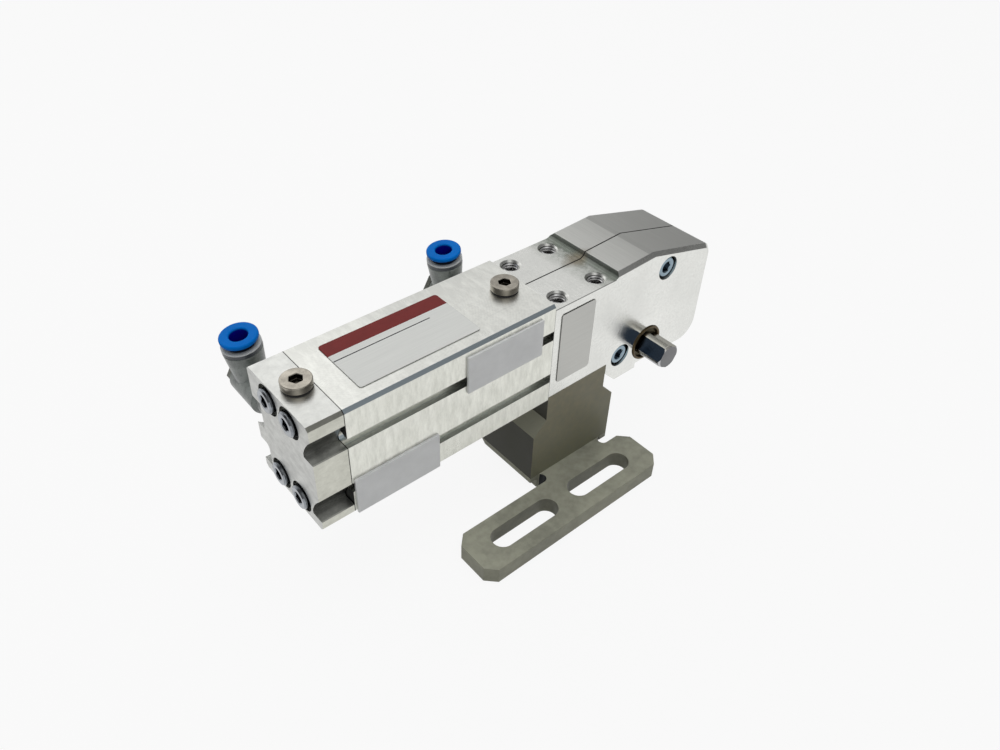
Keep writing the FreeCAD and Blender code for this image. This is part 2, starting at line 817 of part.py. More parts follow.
def head_profile(sketch):
    """Side outline of the head, from its lower pad round the chin and nose to its upper pad."""
    notch_low = "shaft_x - notch_width / 2"
    notch_high = "shaft_x + notch_width / 2"
    lobe_run = "chin_drop - lobe_start"
    outline(sketch, [
        ("head_x", "low_pad_z"), ("pad_x", "low_pad_z"), ("pad_x", "base_z - lobe_start"),
        (f"pad_x + {lobe_run}", "chin_z"), (notch_low, "chin_z"),
        (notch_low, "chin_z + notch_depth"), (notch_high, "chin_z + notch_depth"),
        (notch_high, "chin_z"), ("front_x", "chin_z"), ("front_x", "base_z + nose_height"),
        ("head_x + crest_setback", "top_z + crest_rise"), ("pad_x + step_run", "top_z"),
        ("pad_x", "high_pad_z"), ("head_x", "high_pad_z"),
    ])


def head_hollow(body, way):
    """Room inside a head half for the rod, crosshead, guide shoes, crank lever and hub."""
    chamber = sketch_on(body, "XZ", "mid_y")
    high = "(clevis_half_high + free_gap)"
    rectangle(chamber, "pin_rear_x - clevis_back - free_gap", f"axis_z - {high}",
              "pin_front_x + clevis_front + free_gap", f"axis_z + {high}")
    pocket(body, chamber, "clevis_half_wide + free_gap", way)
    guide = sketch_on(body, "XZ", "mid_y")
    reach, high = "(shoe_length / 2 + free_gap)", "(shoe_high / 2 + running_fit)"
    rectangle(guide, f"pin_rear_x - {reach}", f"axis_z - {high}",
              f"pin_front_x + {reach}", f"axis_z + {high}")
    pocket(body, guide, "clevis_half_wide + shoe_thick + free_gap", way)
    sweep = sketch_on(body, "XZ", "mid_y")
    side = "(lever_half + free_gap)"
    arm = "(lever_tip + free_gap)"
    foot_x = f"{side} * cos(half_swing_angle)"
    foot_z = f"{side} * sin(half_swing_angle)"
    length = f"sqrt({arm} ^ 2 - {side} ^ 2)"
    tip_x = f"{foot_x} + {length} * sin(half_swing_angle)"
    tip_z = f"{length} * cos(half_swing_angle) - {foot_z}"
    outline(sweep, [
        (f"shaft_x - ({foot_x})", f"shaft_z - ({foot_z})"),
        (f"shaft_x + {foot_x}", f"shaft_z - ({foot_z})"),
        (f"shaft_x + {tip_x}", f"shaft_z + {tip_z}", arm, 1),
        (f"shaft_x - ({tip_x})", f"shaft_z + {tip_z}"),
    ])
    pocket(body, sweep, "lever_room", way)
    hub = sketch_on(body, "XZ", "mid_y")
    circle(hub, "shaft_x", "shaft_z", "hub_radius + free_gap")
    pocket(body, hub, "lever_room", way)
    tunnel = sketch_on(body, "YZ", "head_x")
    circle(tunnel, "mid_y", "axis_z", "rod_radius + free_gap")
    pocket(body, tunnel, "pin_rear_x - clevis_back - head_x")
    pilot = sketch_on(body, "YZ", "head_x")
    circle(pilot, "mid_y", "axis_z", "gland_pilot + static_fit")
    pocket(body, pilot, "pilot_length + free_gap / 2")


def head_half(label, way):
    """One half of the split head; way is -1 on the side of the output square."""
    body = new_body(label)
    wide = "body_width / 2"
    sign = "-" if way < 0 else "+"
    outer = f"mid_y {sign} {wide}"
    profile = sketch_on(body, "XZ", "mid_y")
    head_profile(profile)
    pad(body, profile, wide, way)
    for x, z, radius in (
        ("front_x", "chin_z", "chin_round"),
        ("front_x", "base_z + nose_height", "nose_round"),
        ("pad_x", "high_pad_z", "step_round"),
    ):
        dressed(body, "Fillet", lambda point: near(point.x, x) and near(point.z, z), Radius=radius)

    def on_crown(point):
        behind_step = point.x > value("pad_x + step_run") - EDGE_SLACK
        return near(point.y, outer) and point.z > value("base_z + nose_height") and behind_step

    def on_seam(point):
        on_top = point.z > value("base_z + nose_height") - EDGE_SLACK
        return near(point.y, "mid_y") and on_top and point.x > value("head_x") + EDGE_SLACK

    dressed(body, "Chamfer", on_crown, Size="head_bevel")
    dressed(body, "Chamfer", on_seam, Size="seam_bevel")
    head_hollow(body, way)
    bush = sketch_on(body, "XZ", "mid_y")
    circle(bush, "shaft_x", "shaft_z", "bush_radius + static_fit")
    pocket(body, bush, wide, way)
    spots = [spot for spot in TIE_SPOTS if f"mid_y {sign}" in spot[0]]
    ties = sketch_on(body, "YZ", "head_x")
    for y, z in spots:
        circle(ties, y, z, "small_radius")
    pocket(body, ties, "thread_engage + free_gap")
    mouths = [(value(x), value(y)) for x, y in PAD_SPOTS if f"mid_y {sign}" in y]
    for level, grow, radius, depth in (
        ("high_pad_z", -1, "large_radius", "pad_thread"),
        ("low_pad_z", 1, "small_radius", "grip_thread"),
    ):
        threads = sketch_on(body, "XY", level)
        for x, y in PAD_SPOTS:
            if f"mid_y {sign}" in y:
                circle(threads, x, y, radius)
        pocket(body, threads, depth, grow)

        def on_mouth(point):
            rims = [math.hypot(point.x - x, point.y - y) - value(radius) for x, y in mouths]
            return near(point.z, level) and min(abs(rim) for rim in rims) < EDGE_SLACK

        dressed(body, "Chamfer", on_mouth, Size="pad_mouth")
    pins = sketch_on(body, "XZ", "mid_y")
    for x, z in DOWELS:
        circle(pins, x, z, "dowel_radius + static_fit")
    pocket(body, pins, "dowel_half + free_gap", way)
    holes = sketch_on(body, "XZ", "mid_y")
    for x, z in HEAD_SCREWS:
        circle(holes, x, z, "small_radius + free_gap / 2" if way < 0 else "small_radius")
    pocket(body, holes, wide if way < 0 else "thread_engage + free_gap", way)
    if way < 0:
        sinks = sketch_on(body, "XZ", outer)
        for x, z in HEAD_SCREWS:
            circle(sinks, x, z, "head_sink_radius")
        pocket(body, sinks, "head_sink")
    keep(body, label)


def head_fasteners():
    """Cap screws and dowels that join the two head halves."""
    seat = "near_y + head_sink"
    group("head_screws", [
        socket_screw(f"head_screw_{index}", "small_head", "small_head_high",
                     "small_radius - running_fit", "body_width / 2 - head_sink + thread_engage",
                     "small_hex", (x, seat, z), "Y")
        for index, (x, z) in enumerate(HEAD_SCREWS)
    ])
    group("head_dowels", [
        cylinder(f"head_dowel_{index}", x, "mid_y - dowel_half", z, "dowel_radius",
                 "dowel_half * 2", "Y")
        for index, (x, z) in enumerate(DOWELS)
    ])


# Piston, rod and crosshead

def rod_gland():
    """Rod guide in the barrel's front end, with its pilot in the head, and its two seals."""
    at = ("head_x", "mid_y", "axis_z")
    outer = "bore_radius - static_fit"
    bore = "rod_radius + running_fit"
    groove = "(gland_length - seal_width) / 2"
    keep(turned("rod_gland", [
        ("0 - gland_length", "rod_seal_radius"), ("rod_seal_long - gland_length", "rod_seal_radius"),
        ("rod_seal_long - gland_length", bore), ("pilot_length", bore), ("pilot_length", "gland_pilot"),
        ("0", "gland_pilot"), ("0", outer), (f"0 - {groove}", outer),
        (f"0 - {groove}", f"{outer} - seal_deep"), (f"0 - {groove} - seal_width", f"{outer} - seal_deep"),
        (f"0 - {groove} - seal_width", outer), ("0 - gland_length", outer),
    ], at, "X"), "rod_gland")
    keep(ring("gland_seal", f"0 - {groove} - seal_width + static_fit", f"0 - {groove} - static_fit",
              f"{outer} - seal_deep + static_fit", outer, at, "X"), "gland_seal")
    keep(ring("rod_seal", "0 - gland_length", "rod_seal_long - gland_length - static_fit",
              bore, "rod_seal_radius - static_fit", at, "X"), "rod_seal")


def piston():
    """Piston with two seal grooves and a magnet groove between them."""
    face = "bore_radius - running_fit"
    floor = f"{face} - seal_deep"
    at = ("piston_rear_x", "mid_y", "axis_z")
    step = "piston_length / 4"
    bands = [(f"{step} - seal_width / 2", "seal_width"),
             (f"{step} * 2 - magnet_width / 2", "magnet_width"),
             (f"{step} * 3 - seal_width / 2", "seal_width")]
    top = [("piston_length", face)]
    for start, width in reversed(bands):
        top += [(f"{start} + {width}", face), (f"{start} + {width}", floor), (start, floor), (start, face)]
    hole = "rod_tail + static_fit"
    keep(turned("piston", [("0", hole), ("piston_length", hole)] + top + [("0", face)], at, "X"), "piston")
    rings = [
        ring(f"piston_band_{index}", f"{start} + static_fit", f"{start} + {width} - static_fit",
             f"{floor} + static_fit", face, at, "X")
        for index, (start, width) in enumerate(bands)
    ]
    group("piston_seals", [rings[0], rings[2]])
    keep(rings[1], "piston_magnet")


def piston_rod():
    """Rod with a tail through the piston, a nut behind it and a stud for the clevis."""
    run = "clevis_x - piston_front_x"
    tail = "0 - piston_length - nut_high"
    keep(turned("piston_rod", [
        (tail, "0"), (f"{run} + rod_thread", "0"), (f"{run} + rod_thread", "rod_stud"),
        (run, "rod_stud"), (run, "rod_radius"), ("0", "rod_radius"), ("0", "rod_tail"), (tail, "rod_tail"),
    ], ("piston_front_x", "mid_y", "axis_z"), "X"), "piston_rod")
    nut_x = "piston_rear_x - nut_high"
    nut = hexagon("nut_blank", nut_x, "mid_y", "axis_z", "nut_flats", "nut_high", "X")
    hole = cylinder("nut_hole", f"{nut_x} - 1", "mid_y", "axis_z", "rod_tail + static_fit",
                    "nut_high + 2", "X")
    keep(cut("piston_nut", nut, hole), "piston_nut")


def rod_clevis():
    """Fork on the rod's end that straddles the crank lever."""
    body = new_body("rod_clevis")
    blank = sketch_on(body, "YZ", "clevis_x")
    rectangle(blank, "mid_y - clevis_half_wide", "axis_z - clevis_half_high",
              "mid_y + clevis_half_wide", "axis_z + clevis_half_high")
    pad(body, blank, "clevis_back + clevis_front")
    gap = sketch_on(body, "YZ", "pin_x - clevis_slot")
    half = "lever_room"
    rectangle(gap, f"mid_y - {half}", "axis_z - clevis_half_high",
              f"mid_y + {half}", "axis_z + clevis_half_high")
    pocket(body, gap, "clevis_slot + clevis_front")
    eye = sketch_on(body, "XZ", "mid_y - clevis_half_wide")
    circle(eye, "pin_x", "axis_z", "pin_radius + static_fit")
    pocket(body, eye, "clevis_half_wide * 2")
    stud = sketch_on(body, "YZ", "clevis_x")
    circle(stud, "mid_y", "axis_z", "rod_stud + static_fit")
    pocket(body, stud, "clevis_back - clevis_slot")
    keep(body, "rod_clevis")


def crosshead():
    """Cross pin through clevis and lever slot, with a guide shoe on each end."""
    reach = "clevis_half_wide + shoe_thick"
    keep(cylinder("cross_pin", "pin_x", f"mid_y - ({reach})", "axis_z", "pin_radius",
                  f"({reach}) * 2", "Y"), "cross_pin")
    shoes = []
    for index, low in enumerate((f"mid_y - ({reach})", "mid_y + clevis_half_wide + static_fit")):
        shoe = box(f"shoe_blank_{index}", "pin_x - shoe_length / 2", low, "axis_z - shoe_high / 2",
                   "shoe_length", "shoe_thick - static_fit", "shoe_high")
        hole = cylinder(f"shoe_hole_{index}", "pin_x", f"{low} - 1", "axis_z",
                        "pin_radius + static_fit", "shoe_thick + 2", "Y")
        shoes.append(cut(f"guide_shoe_{index}", shoe, hole))
    group("guide_shoes", shoes)


# Crank lever and output shaft

def drive_square(name, fit, start, length):
    """A square with its corners turned off, along Y about the shaft's own axis."""
    side = f"(drive_flats + {fit} * 2)"
    bar = box(name + "_bar", f"0 - {side} / 2", start, f"0 - {side} / 2", side, length, side)
    rounder = cylinder(name + "_turn", "0", start, "0", f"shaft_radius + {fit}", length, "Y")
    return shared(name, bar, rounder)


def at_shaft(thing, angle):
    """Bring a piece made about its own Y axis to the shaft, turned by an angle."""
    turn(thing, Y_AXIS, angle)
    place(thing, "shaft_x", "mid_y", "shaft_z")
    return thing


def crank_lever():
    """Forked lever whose slot takes the cross pin, driven onto the shaft's square."""
    half = "lever_thick / 2"
    hub = cylinder("lever_hub", "0", f"0 - {half}", "0", "hub_radius", "lever_thick", "Y")
    bar = box("lever_bar", "0 - lever_half", f"0 - {half}", "0", "lever_half * 2", "lever_thick", "lever_tip")
    tip = cylinder("lever_round", "0", f"0 - {half}", "0", "lever_tip", "lever_thick", "Y")
    arm = shared("lever_arm", bar, tip)
    floor = "crank - pin_radius - free_gap"
    slot_round = cylinder("lever_slot_round", "0", f"0 - {half} - 1", f"{floor} + lever_slot",
                          "lever_slot", "lever_thick + 2", "Y")
    slot_run = box("lever_slot_run", "0 - lever_slot", f"0 - {half} - 1", f"{floor} + lever_slot",
                   "lever_slot * 2", "lever_thick + 2", "lever_tip")
    bore = drive_square("lever_square", "static_fit", f"0 - {half} - 1", "lever_thick + 2")
    lever = cut("crank_lever", joined("lever_blank", hub, arm), slot_round, slot_run, bore)
    keep(at_shaft(lever, "lever_angle"), "crank_lever")


def output_shaft():
    """Shaft with two journals, a square for the lever and a square end for the clamp arm."""
    half = "lever_thick / 2"
    near_end = "body_width / 2 + square_reach"
    journal = "body_width / 2 - journal_recess"
    drive = drive_square("shaft_drive", "0", f"0 - {half} - 1", "lever_thick + 2")
    near_journal = cylinder("shaft_near", "0", f"0 - ({journal})", "0", "shaft_radius",
                            f"{journal} - {half}", "Y")
    far_journal = cylinder("shaft_far", "0", half, "0", "shaft_radius",
                           f"body_width / 2 - shaft_recess - {half}", "Y")
    core = at_shaft(joined("shaft_core", drive, near_journal, far_journal), "lever_angle")
    side = "square_flats"
    bar = box("square_bar", f"0 - {side} / 2", f"0 - ({near_end})", f"0 - {side} / 2", side,
              "square_reach + journal_recess", side)
    blank = turned("square_blank", [
        ("0", "0"), ("square_reach + journal_recess", "0"),
        ("square_reach + journal_recess", "square_corner"),
        ("square_bevel", "square_corner"), ("0", "square_corner - square_bevel"),
    ], ("0", f"0 - ({near_end})", "0"), "Y")
    end = at_shaft(shared("square_end", bar, blank), "rest_angle")
    keep(joined("output_shaft", core, end), "output_shaft")


def shaft_bushes():
    """Plain bushes that carry the shaft in the two head halves."""
    inner = "shaft_radius + running_fit"
    room = "lever_room + static_fit"
    keep(ring("shaft_bush_near", "near_y - bush_proud", f"mid_y - ({room})", inner, "bush_radius",
              ("shaft_x", "0", "shaft_z"), "Y"), "shaft_bush_near")
    keep(ring("shaft_bush_far", f"mid_y + {room}", "far_y", inner, "bush_radius",
              ("shaft_x", "0", "shaft_z"), "Y"), "shaft_bush_far")


# Air fittings

def port_plugs():
    """Socket plugs with sealing washers that close the two top ports."""
    plugs = []
    seals = []
    for name, (x, _) in AIR_PORTS.items():
        at = (f"{x} + plug_lead", "mid_y", "top_z")
        blank = turned(f"plug_{name}_blank", [
            ("0 - plug_stub", "0"), ("plug_seal + plug_high", "0"),
            ("plug_seal + plug_high", "plug_radius"), ("plug_seal", "plug_radius"),
            ("plug_seal", "port_radius - static_fit"), ("0 - plug_stub", "port_radius - static_fit"),
        ], at, "Z")
        socket = hexagon(f"plug_{name}_socket", at[0], "mid_y", "top_z + plug_seal + plug_high - plug_socket",
                         "small_hex", "plug_socket")
        plugs.append(cut(f"plug_{name}", blank, socket))
        seals.append(ring(f"plug_seal_{name}", "0", "plug_seal", "port_radius + static_fit",
                          "plug_radius - free_gap / 2", at, "Z"))
    group("port_plugs", plugs)
    group("plug_seals", seals)


def hollow_bolts():
    """Hollow bolts that carry the elbows, each with a sealing ring on its spot face."""
    bolts = []
    seals = []
    drilling = "tube_radius / 2"
    for name, (x, sink) in AIR_PORTS.items():
        at = (x, f"far_y - {sink}", "port_z")
        outlet = f"{sink} + socket_offset + {drilling}"
        under_head = f"{sink} + socket_offset + elbow_reach + free_gap"
        core = turned(f"bolt_{name}_core", [
            ("0 - plug_stub", drilling), (outlet, drilling), (outlet, "0"), (under_head, "0"),
            (under_head, "journal_radius"), ("seal_thick", "journal_radius"),
            ("seal_thick", "port_radius - static_fit"), ("0 - plug_stub", "port_radius - static_fit"),
        ], at, "Y")
        head = hexagon(f"bolt_{name}_head", x, "socket_y + elbow_reach + free_gap", "port_z",
                       "bolt_flats", "bolt_head", "Y")
        cross = cylinder(f"bolt_{name}_cross", x, "socket_y", "port_z - elbow_radius", drilling,
                         "elbow_radius * 2")
        bolts.append(cut(f"bolt_{name}", joined(f"bolt_{name}_solid", core, head), cross))
        seals.append(ring(f"bolt_seal_{name}", "0", "seal_thick", "port_radius + static_fit",
                          "elbow_neck", at, "Y"))
    group("hollow_bolts", bolts)
    group("bolt_seals", seals)


def lean_at(thing, x, angle):
    """Bring a fitting piece from its own axes to its tube socket and lean it back by an angle."""
    turn(thing, Y_AXIS, f"0 - ({angle})")
    place(thing, x, "socket_y", "port_z")
    return thing


def elbow_fitting(name, x, sink):
    """Swivelling elbow with an upright tube socket, its collar, tube seal and release ring."""
    start = f"(seal_thick + free_gap - {sink} - socket_offset)"
    neck_end = "elbow_stand - socket_offset"
    end = "elbow_reach"
    top = "socket_high"
    floor = "(socket_high - socket_deep)"
    hub = turned(f"elbow_{name}_hub", [
        (start, "0"), (end, "0"), (end, "elbow_radius - edge_bevel"),
        (f"{end} - edge_bevel", "elbow_radius"), (f"{neck_end} + elbow_radius - elbow_neck", "elbow_radius"),
        (neck_end, "elbow_neck"), (start, "elbow_neck"),
    ], axis="Y")
    riser = turned(f"elbow_{name}_riser", [
        ("0", "0"), (top, "0"), (top, "socket_radius - free_gap"),
        (f"{top} - free_gap", "socket_radius"), ("0", "socket_foot"),
    ], axis="Z")
    journal = cylinder(f"elbow_{name}_journal", "0", f"{start} - 1", "0", "journal_radius + running_fit",
                       f"{end} - {start} + 2", "Y")
    socket = cylinder(f"elbow_{name}_socket", "0", "0", floor, "sleeve_radius + running_fit", top)
    passage = cylinder(f"elbow_{name}_passage", "0", "0", "0", "tube_radius - free_gap", top)
    body = cut(f"elbow_{name}", joined(f"elbow_{name}_solid", hub, riser), journal, socket, passage)
    keep(lean_at(body, x, "lean_angle"), f"elbow_{name}")

    upright = ("0", "0", "0"), "X"
    collar = ring(f"socket_collar_{name}", top, f"{top} + collar_thick", "sleeve_radius + running_fit",
                  "socket_radius", *upright)
    keep(lean_at(collar, x, "lean_angle + 90"), f"socket_collar_{name}")
    seal = ring(f"tube_seal_{name}", f"{floor} + static_fit", f"{floor} + static_fit + tube_seal * 2",
                "tube_radius + static_fit", "sleeve_radius", *upright)
    keep(lean_at(seal, x, "lean_angle + 90"), f"tube_seal_{name}")

    rim = f"{top} + collar_thick + ring_gap"
    sleeve = f"{rim} - sleeve_length"
    button = turned(f"release_ring_{name}", [
        (sleeve, "tube_radius"), (f"{rim} + ring_thick - ring_bevel", "tube_radius"),
        (f"{rim} + ring_thick", "tube_radius + ring_bevel"),
        (f"{rim} + ring_thick", "ring_radius - ring_bevel"),
        (f"{rim} + ring_thick - ring_bevel", "ring_radius"), (rim, "ring_radius"),
        (rim, "sleeve_radius"), (sleeve, "sleeve_radius"),
    ])
    keep(lean_at(button, x, "lean_angle + 90"), f"release_ring_{name}")


# Labels

def labels():
    """Bare label on the barrel's top, two bare tags on its near side and one on the head."""
    top = new_body("top_label")
    sketch = sketch_on(top, "XY", "top_z")
    rounded(sketch, "cap_x + top_label_x", "near_y + top_label_inset",
            "cap_x + top_label_x + top_label_long", "near_y + top_label_inset + top_label_wide",
            "label_round")
    pad(top, sketch, "label_thick")
    keep(top, "top_label")
    side = new_body("side_label")
    sketch = sketch_on(side, "XZ", "near_y")
    rounded(sketch, "head_x + side_label_x", "base_z + side_label_z",
            "head_x + side_label_x + side_label_long", "base_z + side_label_z + side_label_high",
            "label_round")
    pad(side, sketch, "label_thick", -1)
    keep(side, "side_label")
    for level in ("upper", "lower"):
        tag = new_body(f"tag_{level}")
        sketch = sketch_on(tag, "XZ", "near_y")
        x, z = f"cap_x + tag_{level}_x", f"base_z + tag_{level}_z"
        rectangle(sketch, x, z, f"{x} + tag_long", f"{z} + tag_high")
        pad(tag, sketch, "plate_thick", -1)
        keep(tag, f"tag_{level}")


slotted_foot()
foot_screws()
bracket_block()
bracket_screws()
end_cap()
cap_seal()
cylinder_barrel()
tie_screws()
head_half("head_half_near", -1)
head_half("head_half_far", 1)
head_fasteners()
rod_gland()
piston()
piston_rod()
rod_clevis()
crosshead()
crank_lever()
output_shaft()
shaft_bushes()
port_plugs()
hollow_bolts()
for fitting, (station, spot) in AIR_PORTS.items():
    elbow_fitting(fitting, station, spot)
labels()
doc.recompute()

for thing in doc.Objects:
    if {"Invalid", "Error"} & set(thing.State):
        raise RuntimeError(f"{thing.Label} failed: {thing.State}")
for thing in sub_parts:
    if thing.Shape.isNull() or not thing.Shape.isValid():
        raise RuntimeError(f"{thing.Label} has no sound shape")

os.makedirs("parts", exist_ok=True)
for thing in sub_parts:
    thing.Shape.exportStep(f"parts/{thing.Label}.step")
print(len(sub_parts), "sub-parts")
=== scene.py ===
"""Looks of a pneumatic power clamp on a slotted foot, dressed around its CAD frame."""

import json
import math

import bmesh
import bpy
import numpy as np
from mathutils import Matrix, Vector


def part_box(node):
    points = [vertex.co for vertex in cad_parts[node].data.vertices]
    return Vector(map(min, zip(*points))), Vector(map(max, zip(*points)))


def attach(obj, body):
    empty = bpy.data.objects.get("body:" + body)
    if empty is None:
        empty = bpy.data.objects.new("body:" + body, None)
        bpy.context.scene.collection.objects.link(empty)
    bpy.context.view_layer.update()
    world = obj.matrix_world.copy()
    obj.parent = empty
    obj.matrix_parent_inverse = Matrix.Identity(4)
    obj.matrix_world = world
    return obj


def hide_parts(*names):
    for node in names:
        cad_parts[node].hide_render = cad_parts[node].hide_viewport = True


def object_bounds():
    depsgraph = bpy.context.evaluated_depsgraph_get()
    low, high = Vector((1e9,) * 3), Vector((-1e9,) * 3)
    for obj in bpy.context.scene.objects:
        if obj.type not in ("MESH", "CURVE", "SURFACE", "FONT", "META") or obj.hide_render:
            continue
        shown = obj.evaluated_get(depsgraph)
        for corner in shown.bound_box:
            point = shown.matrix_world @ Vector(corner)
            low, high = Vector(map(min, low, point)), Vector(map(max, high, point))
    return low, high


bl_info = {
    "name": "Power clamp looks",
    "version": (1, 0, 0),
    "blender": (4, 5, 0),
    "location": "3D View > Sidebar > Clamp",
    "description": "Dresses the CAD frame of a pneumatic power clamp",
    "category": "Object",
}

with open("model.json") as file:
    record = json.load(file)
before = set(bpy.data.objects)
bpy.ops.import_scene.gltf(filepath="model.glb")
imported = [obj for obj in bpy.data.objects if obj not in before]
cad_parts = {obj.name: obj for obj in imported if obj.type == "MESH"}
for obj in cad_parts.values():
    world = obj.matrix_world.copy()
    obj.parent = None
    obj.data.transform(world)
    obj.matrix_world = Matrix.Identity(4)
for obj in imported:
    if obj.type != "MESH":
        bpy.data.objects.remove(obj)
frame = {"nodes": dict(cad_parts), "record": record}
NODES = frame["nodes"]
RECORD = frame["record"]
CAD_BOX = [list(corner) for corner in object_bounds()]
BODY_OF = {node: body for body, nodes in RECORD["behaviour"]["bodies"].items() for node in nodes}
SLOT_OF = {part["node"]: part["material_slot"] for part in RECORD["subparts"]}
MM = 0.001

# Turn of the output square at rest.
SQUARE_TURN = math.radians(29.05)
# From the place of the pad's threads up to their first turn and to the pad, and forward to the step.
THREAD_LIFT = 0.0002
PAD_RISE = 0.001
STEP_AHEAD = 0.0153
# Groups of screws, with the axis they lie along and the height of their heads.
SCREWS = {"tie_screws": (0, 0.0035), "head_screws": (1, 0.0046), "bracket_screws": (2, 0.0046)}
# Dark sides of the room: way to each, cosines where it starts and is full, and what light is left.
DARK_SIDES = (
    ((0.50, -0.65, 0.57), 0.70, 0.96, 0.24),
    ((0.93, 0.05, 0.15), 0.80, 0.87, 0.30),
    ((-0.45, 0.35, 0.82), 0.72, 0.92, 0.25),
    ((-0.95, -0.05, 0.10), 0.45, 0.90, 0.30),
)


# Sizes, colours and stage

def length(name, description, default):
    """A length that a user may change."""
    return bpy.props.FloatProperty(
        name=name, description=description, default=default, unit="LENGTH", precision=5
    )


def colour(name, description, default):
    """A colour that a user may change."""
    return bpy.props.FloatVectorProperty(
        name=name, description=description, default=default, size=3, subtype="COLOR", min=0.0, max=1.0
    )


def number(name, description, default, unit="NONE"):
    """A plain number that a user may change."""
    return bpy.props.FloatProperty(name=name, description=description, default=default, unit=unit)


def place(name, description, default):
    """A place in the scene that a user may change."""
    return bpy.props.FloatVectorProperty(
        name=name, description=description, default=default, size=3, subtype="TRANSLATION", precision=5
    )


class ClampSizes(bpy.types.PropertyGroup):
    """Sizes of the fine detail"""

    edge_round: length("Edge round", "Rounded edge of machined pieces", 0.00022)
    moulded_round: length("Moulded round", "Rounded edge of the elbows", 0.0006)
    plug_round: length("Plug round", "Rounded edge of plugs and hollow bolts", 0.0003)
    ring_round: length("Ring round", "Rounded edge of release rings and collars", 0.0002)
    label_round: length("Label round", "Rounded edge of labels and tags", 0.00008)
    thread_pitch: length("Thread pitch", "Pitch of the tapped pad holes", 0.001)
    thread_height: length("Thread height", "Height of the thread ridge", 0.00042)
    thread_depth: length("Thread depth", "Depth of the threads", 0.0105)
    knurl_depth: length("Knurl depth", "Depth of the grip on screw heads", 0.00006)
    head_bevel: length("Head bevel", "Bevel on the rims of screw heads", 0.0005)
    shank_radius: length("Shank radius", "Radius of the screws' shanks", 0.00243)
    socket_flats: length("Socket flats", "Width of the hexagon sockets across their flats", 0.004)
    socket_depth: length("Socket depth", "Depth of the hexagon sockets", 0.0024)
    washer_hole: length("Washer hole", "Radius of the hole in a washer", 0.0025)
    washer_bevel: length("Washer bevel", "Bevel on the rims of a washer", 0.00015)
    band_width: length("Band width", "Width of the coloured band on the top label", 0.0064)
    rule_gap: length("Rule gap", "Gap between that band and the ruled line", 0.00285)
    rule_width: length("Rule width", "Width of the ruled line", 0.00045)
    rule_end: length("Rule end", "Bare end of the label past the ruled line", 0.0095)


class ClampFinishes(bpy.types.PropertyGroup):
    """Colours of the finishes"""

    aluminium: colour("Aluminium", "Machined aluminium", (0.83, 0.835, 0.79))
    cap_aluminium: colour("Cap aluminium", "Aluminium of the rear cap", (0.60, 0.605, 0.58))
    head_aluminium: colour("Head aluminium", "Aluminium of the split head", (0.85, 0.855, 0.82))
    bracket: colour("Bracket", "Olive-grey steel of block and foot", (0.212, 0.212, 0.165))
    zinc: colour("Zinc", "Zinc plating of the screws", (0.29, 0.31, 0.335))
    nickel: colour("Nickel", "Nickel plating of the plugs", (0.43, 0.40, 0.345))
    bolt: colour("Hollow bolt", "Dull plating of the hollow bolts", (0.17, 0.175, 0.155))
    chrome: colour("Chrome", "Chrome of the piston rod", (0.75, 0.76, 0.77))
    shaft: colour("Shaft", "Bright steel of the output shaft", (0.55, 0.55, 0.56))
    bronze: colour("Bronze", "Shaft bushes and guide shoes", (0.115, 0.085, 0.045))
    fitting: colour("Fitting", "Moulded grey of the elbows", (0.225, 0.247, 0.233))
    collar: colour("Collar", "Dark collars of the tube sockets", (0.06, 0.068, 0.08))
    release: colour("Release ring", "Blue of the release rings", (0.0, 0.145, 0.545))
    magnet: colour("Magnet", "Magnet of the piston", (0.05, 0.05, 0.052))
    rubber: colour("Rubber", "Seals", (0.012, 0.012, 0.013))
    label: colour("Label", "Silver of the top label", (0.67, 0.68, 0.655))
    band: colour("Band", "Red band of the top label", (0.158, 0.012, 0.011))
    rule: colour("Rule", "Ruled line of the top label", (0.03, 0.03, 0.034))
    side_label: colour("Side label", "Brushed silver of the side label", (0.52, 0.52, 0.495))
    tag: colour("Tag", "Pale grey of the two tags", (0.72, 0.73, 0.73))


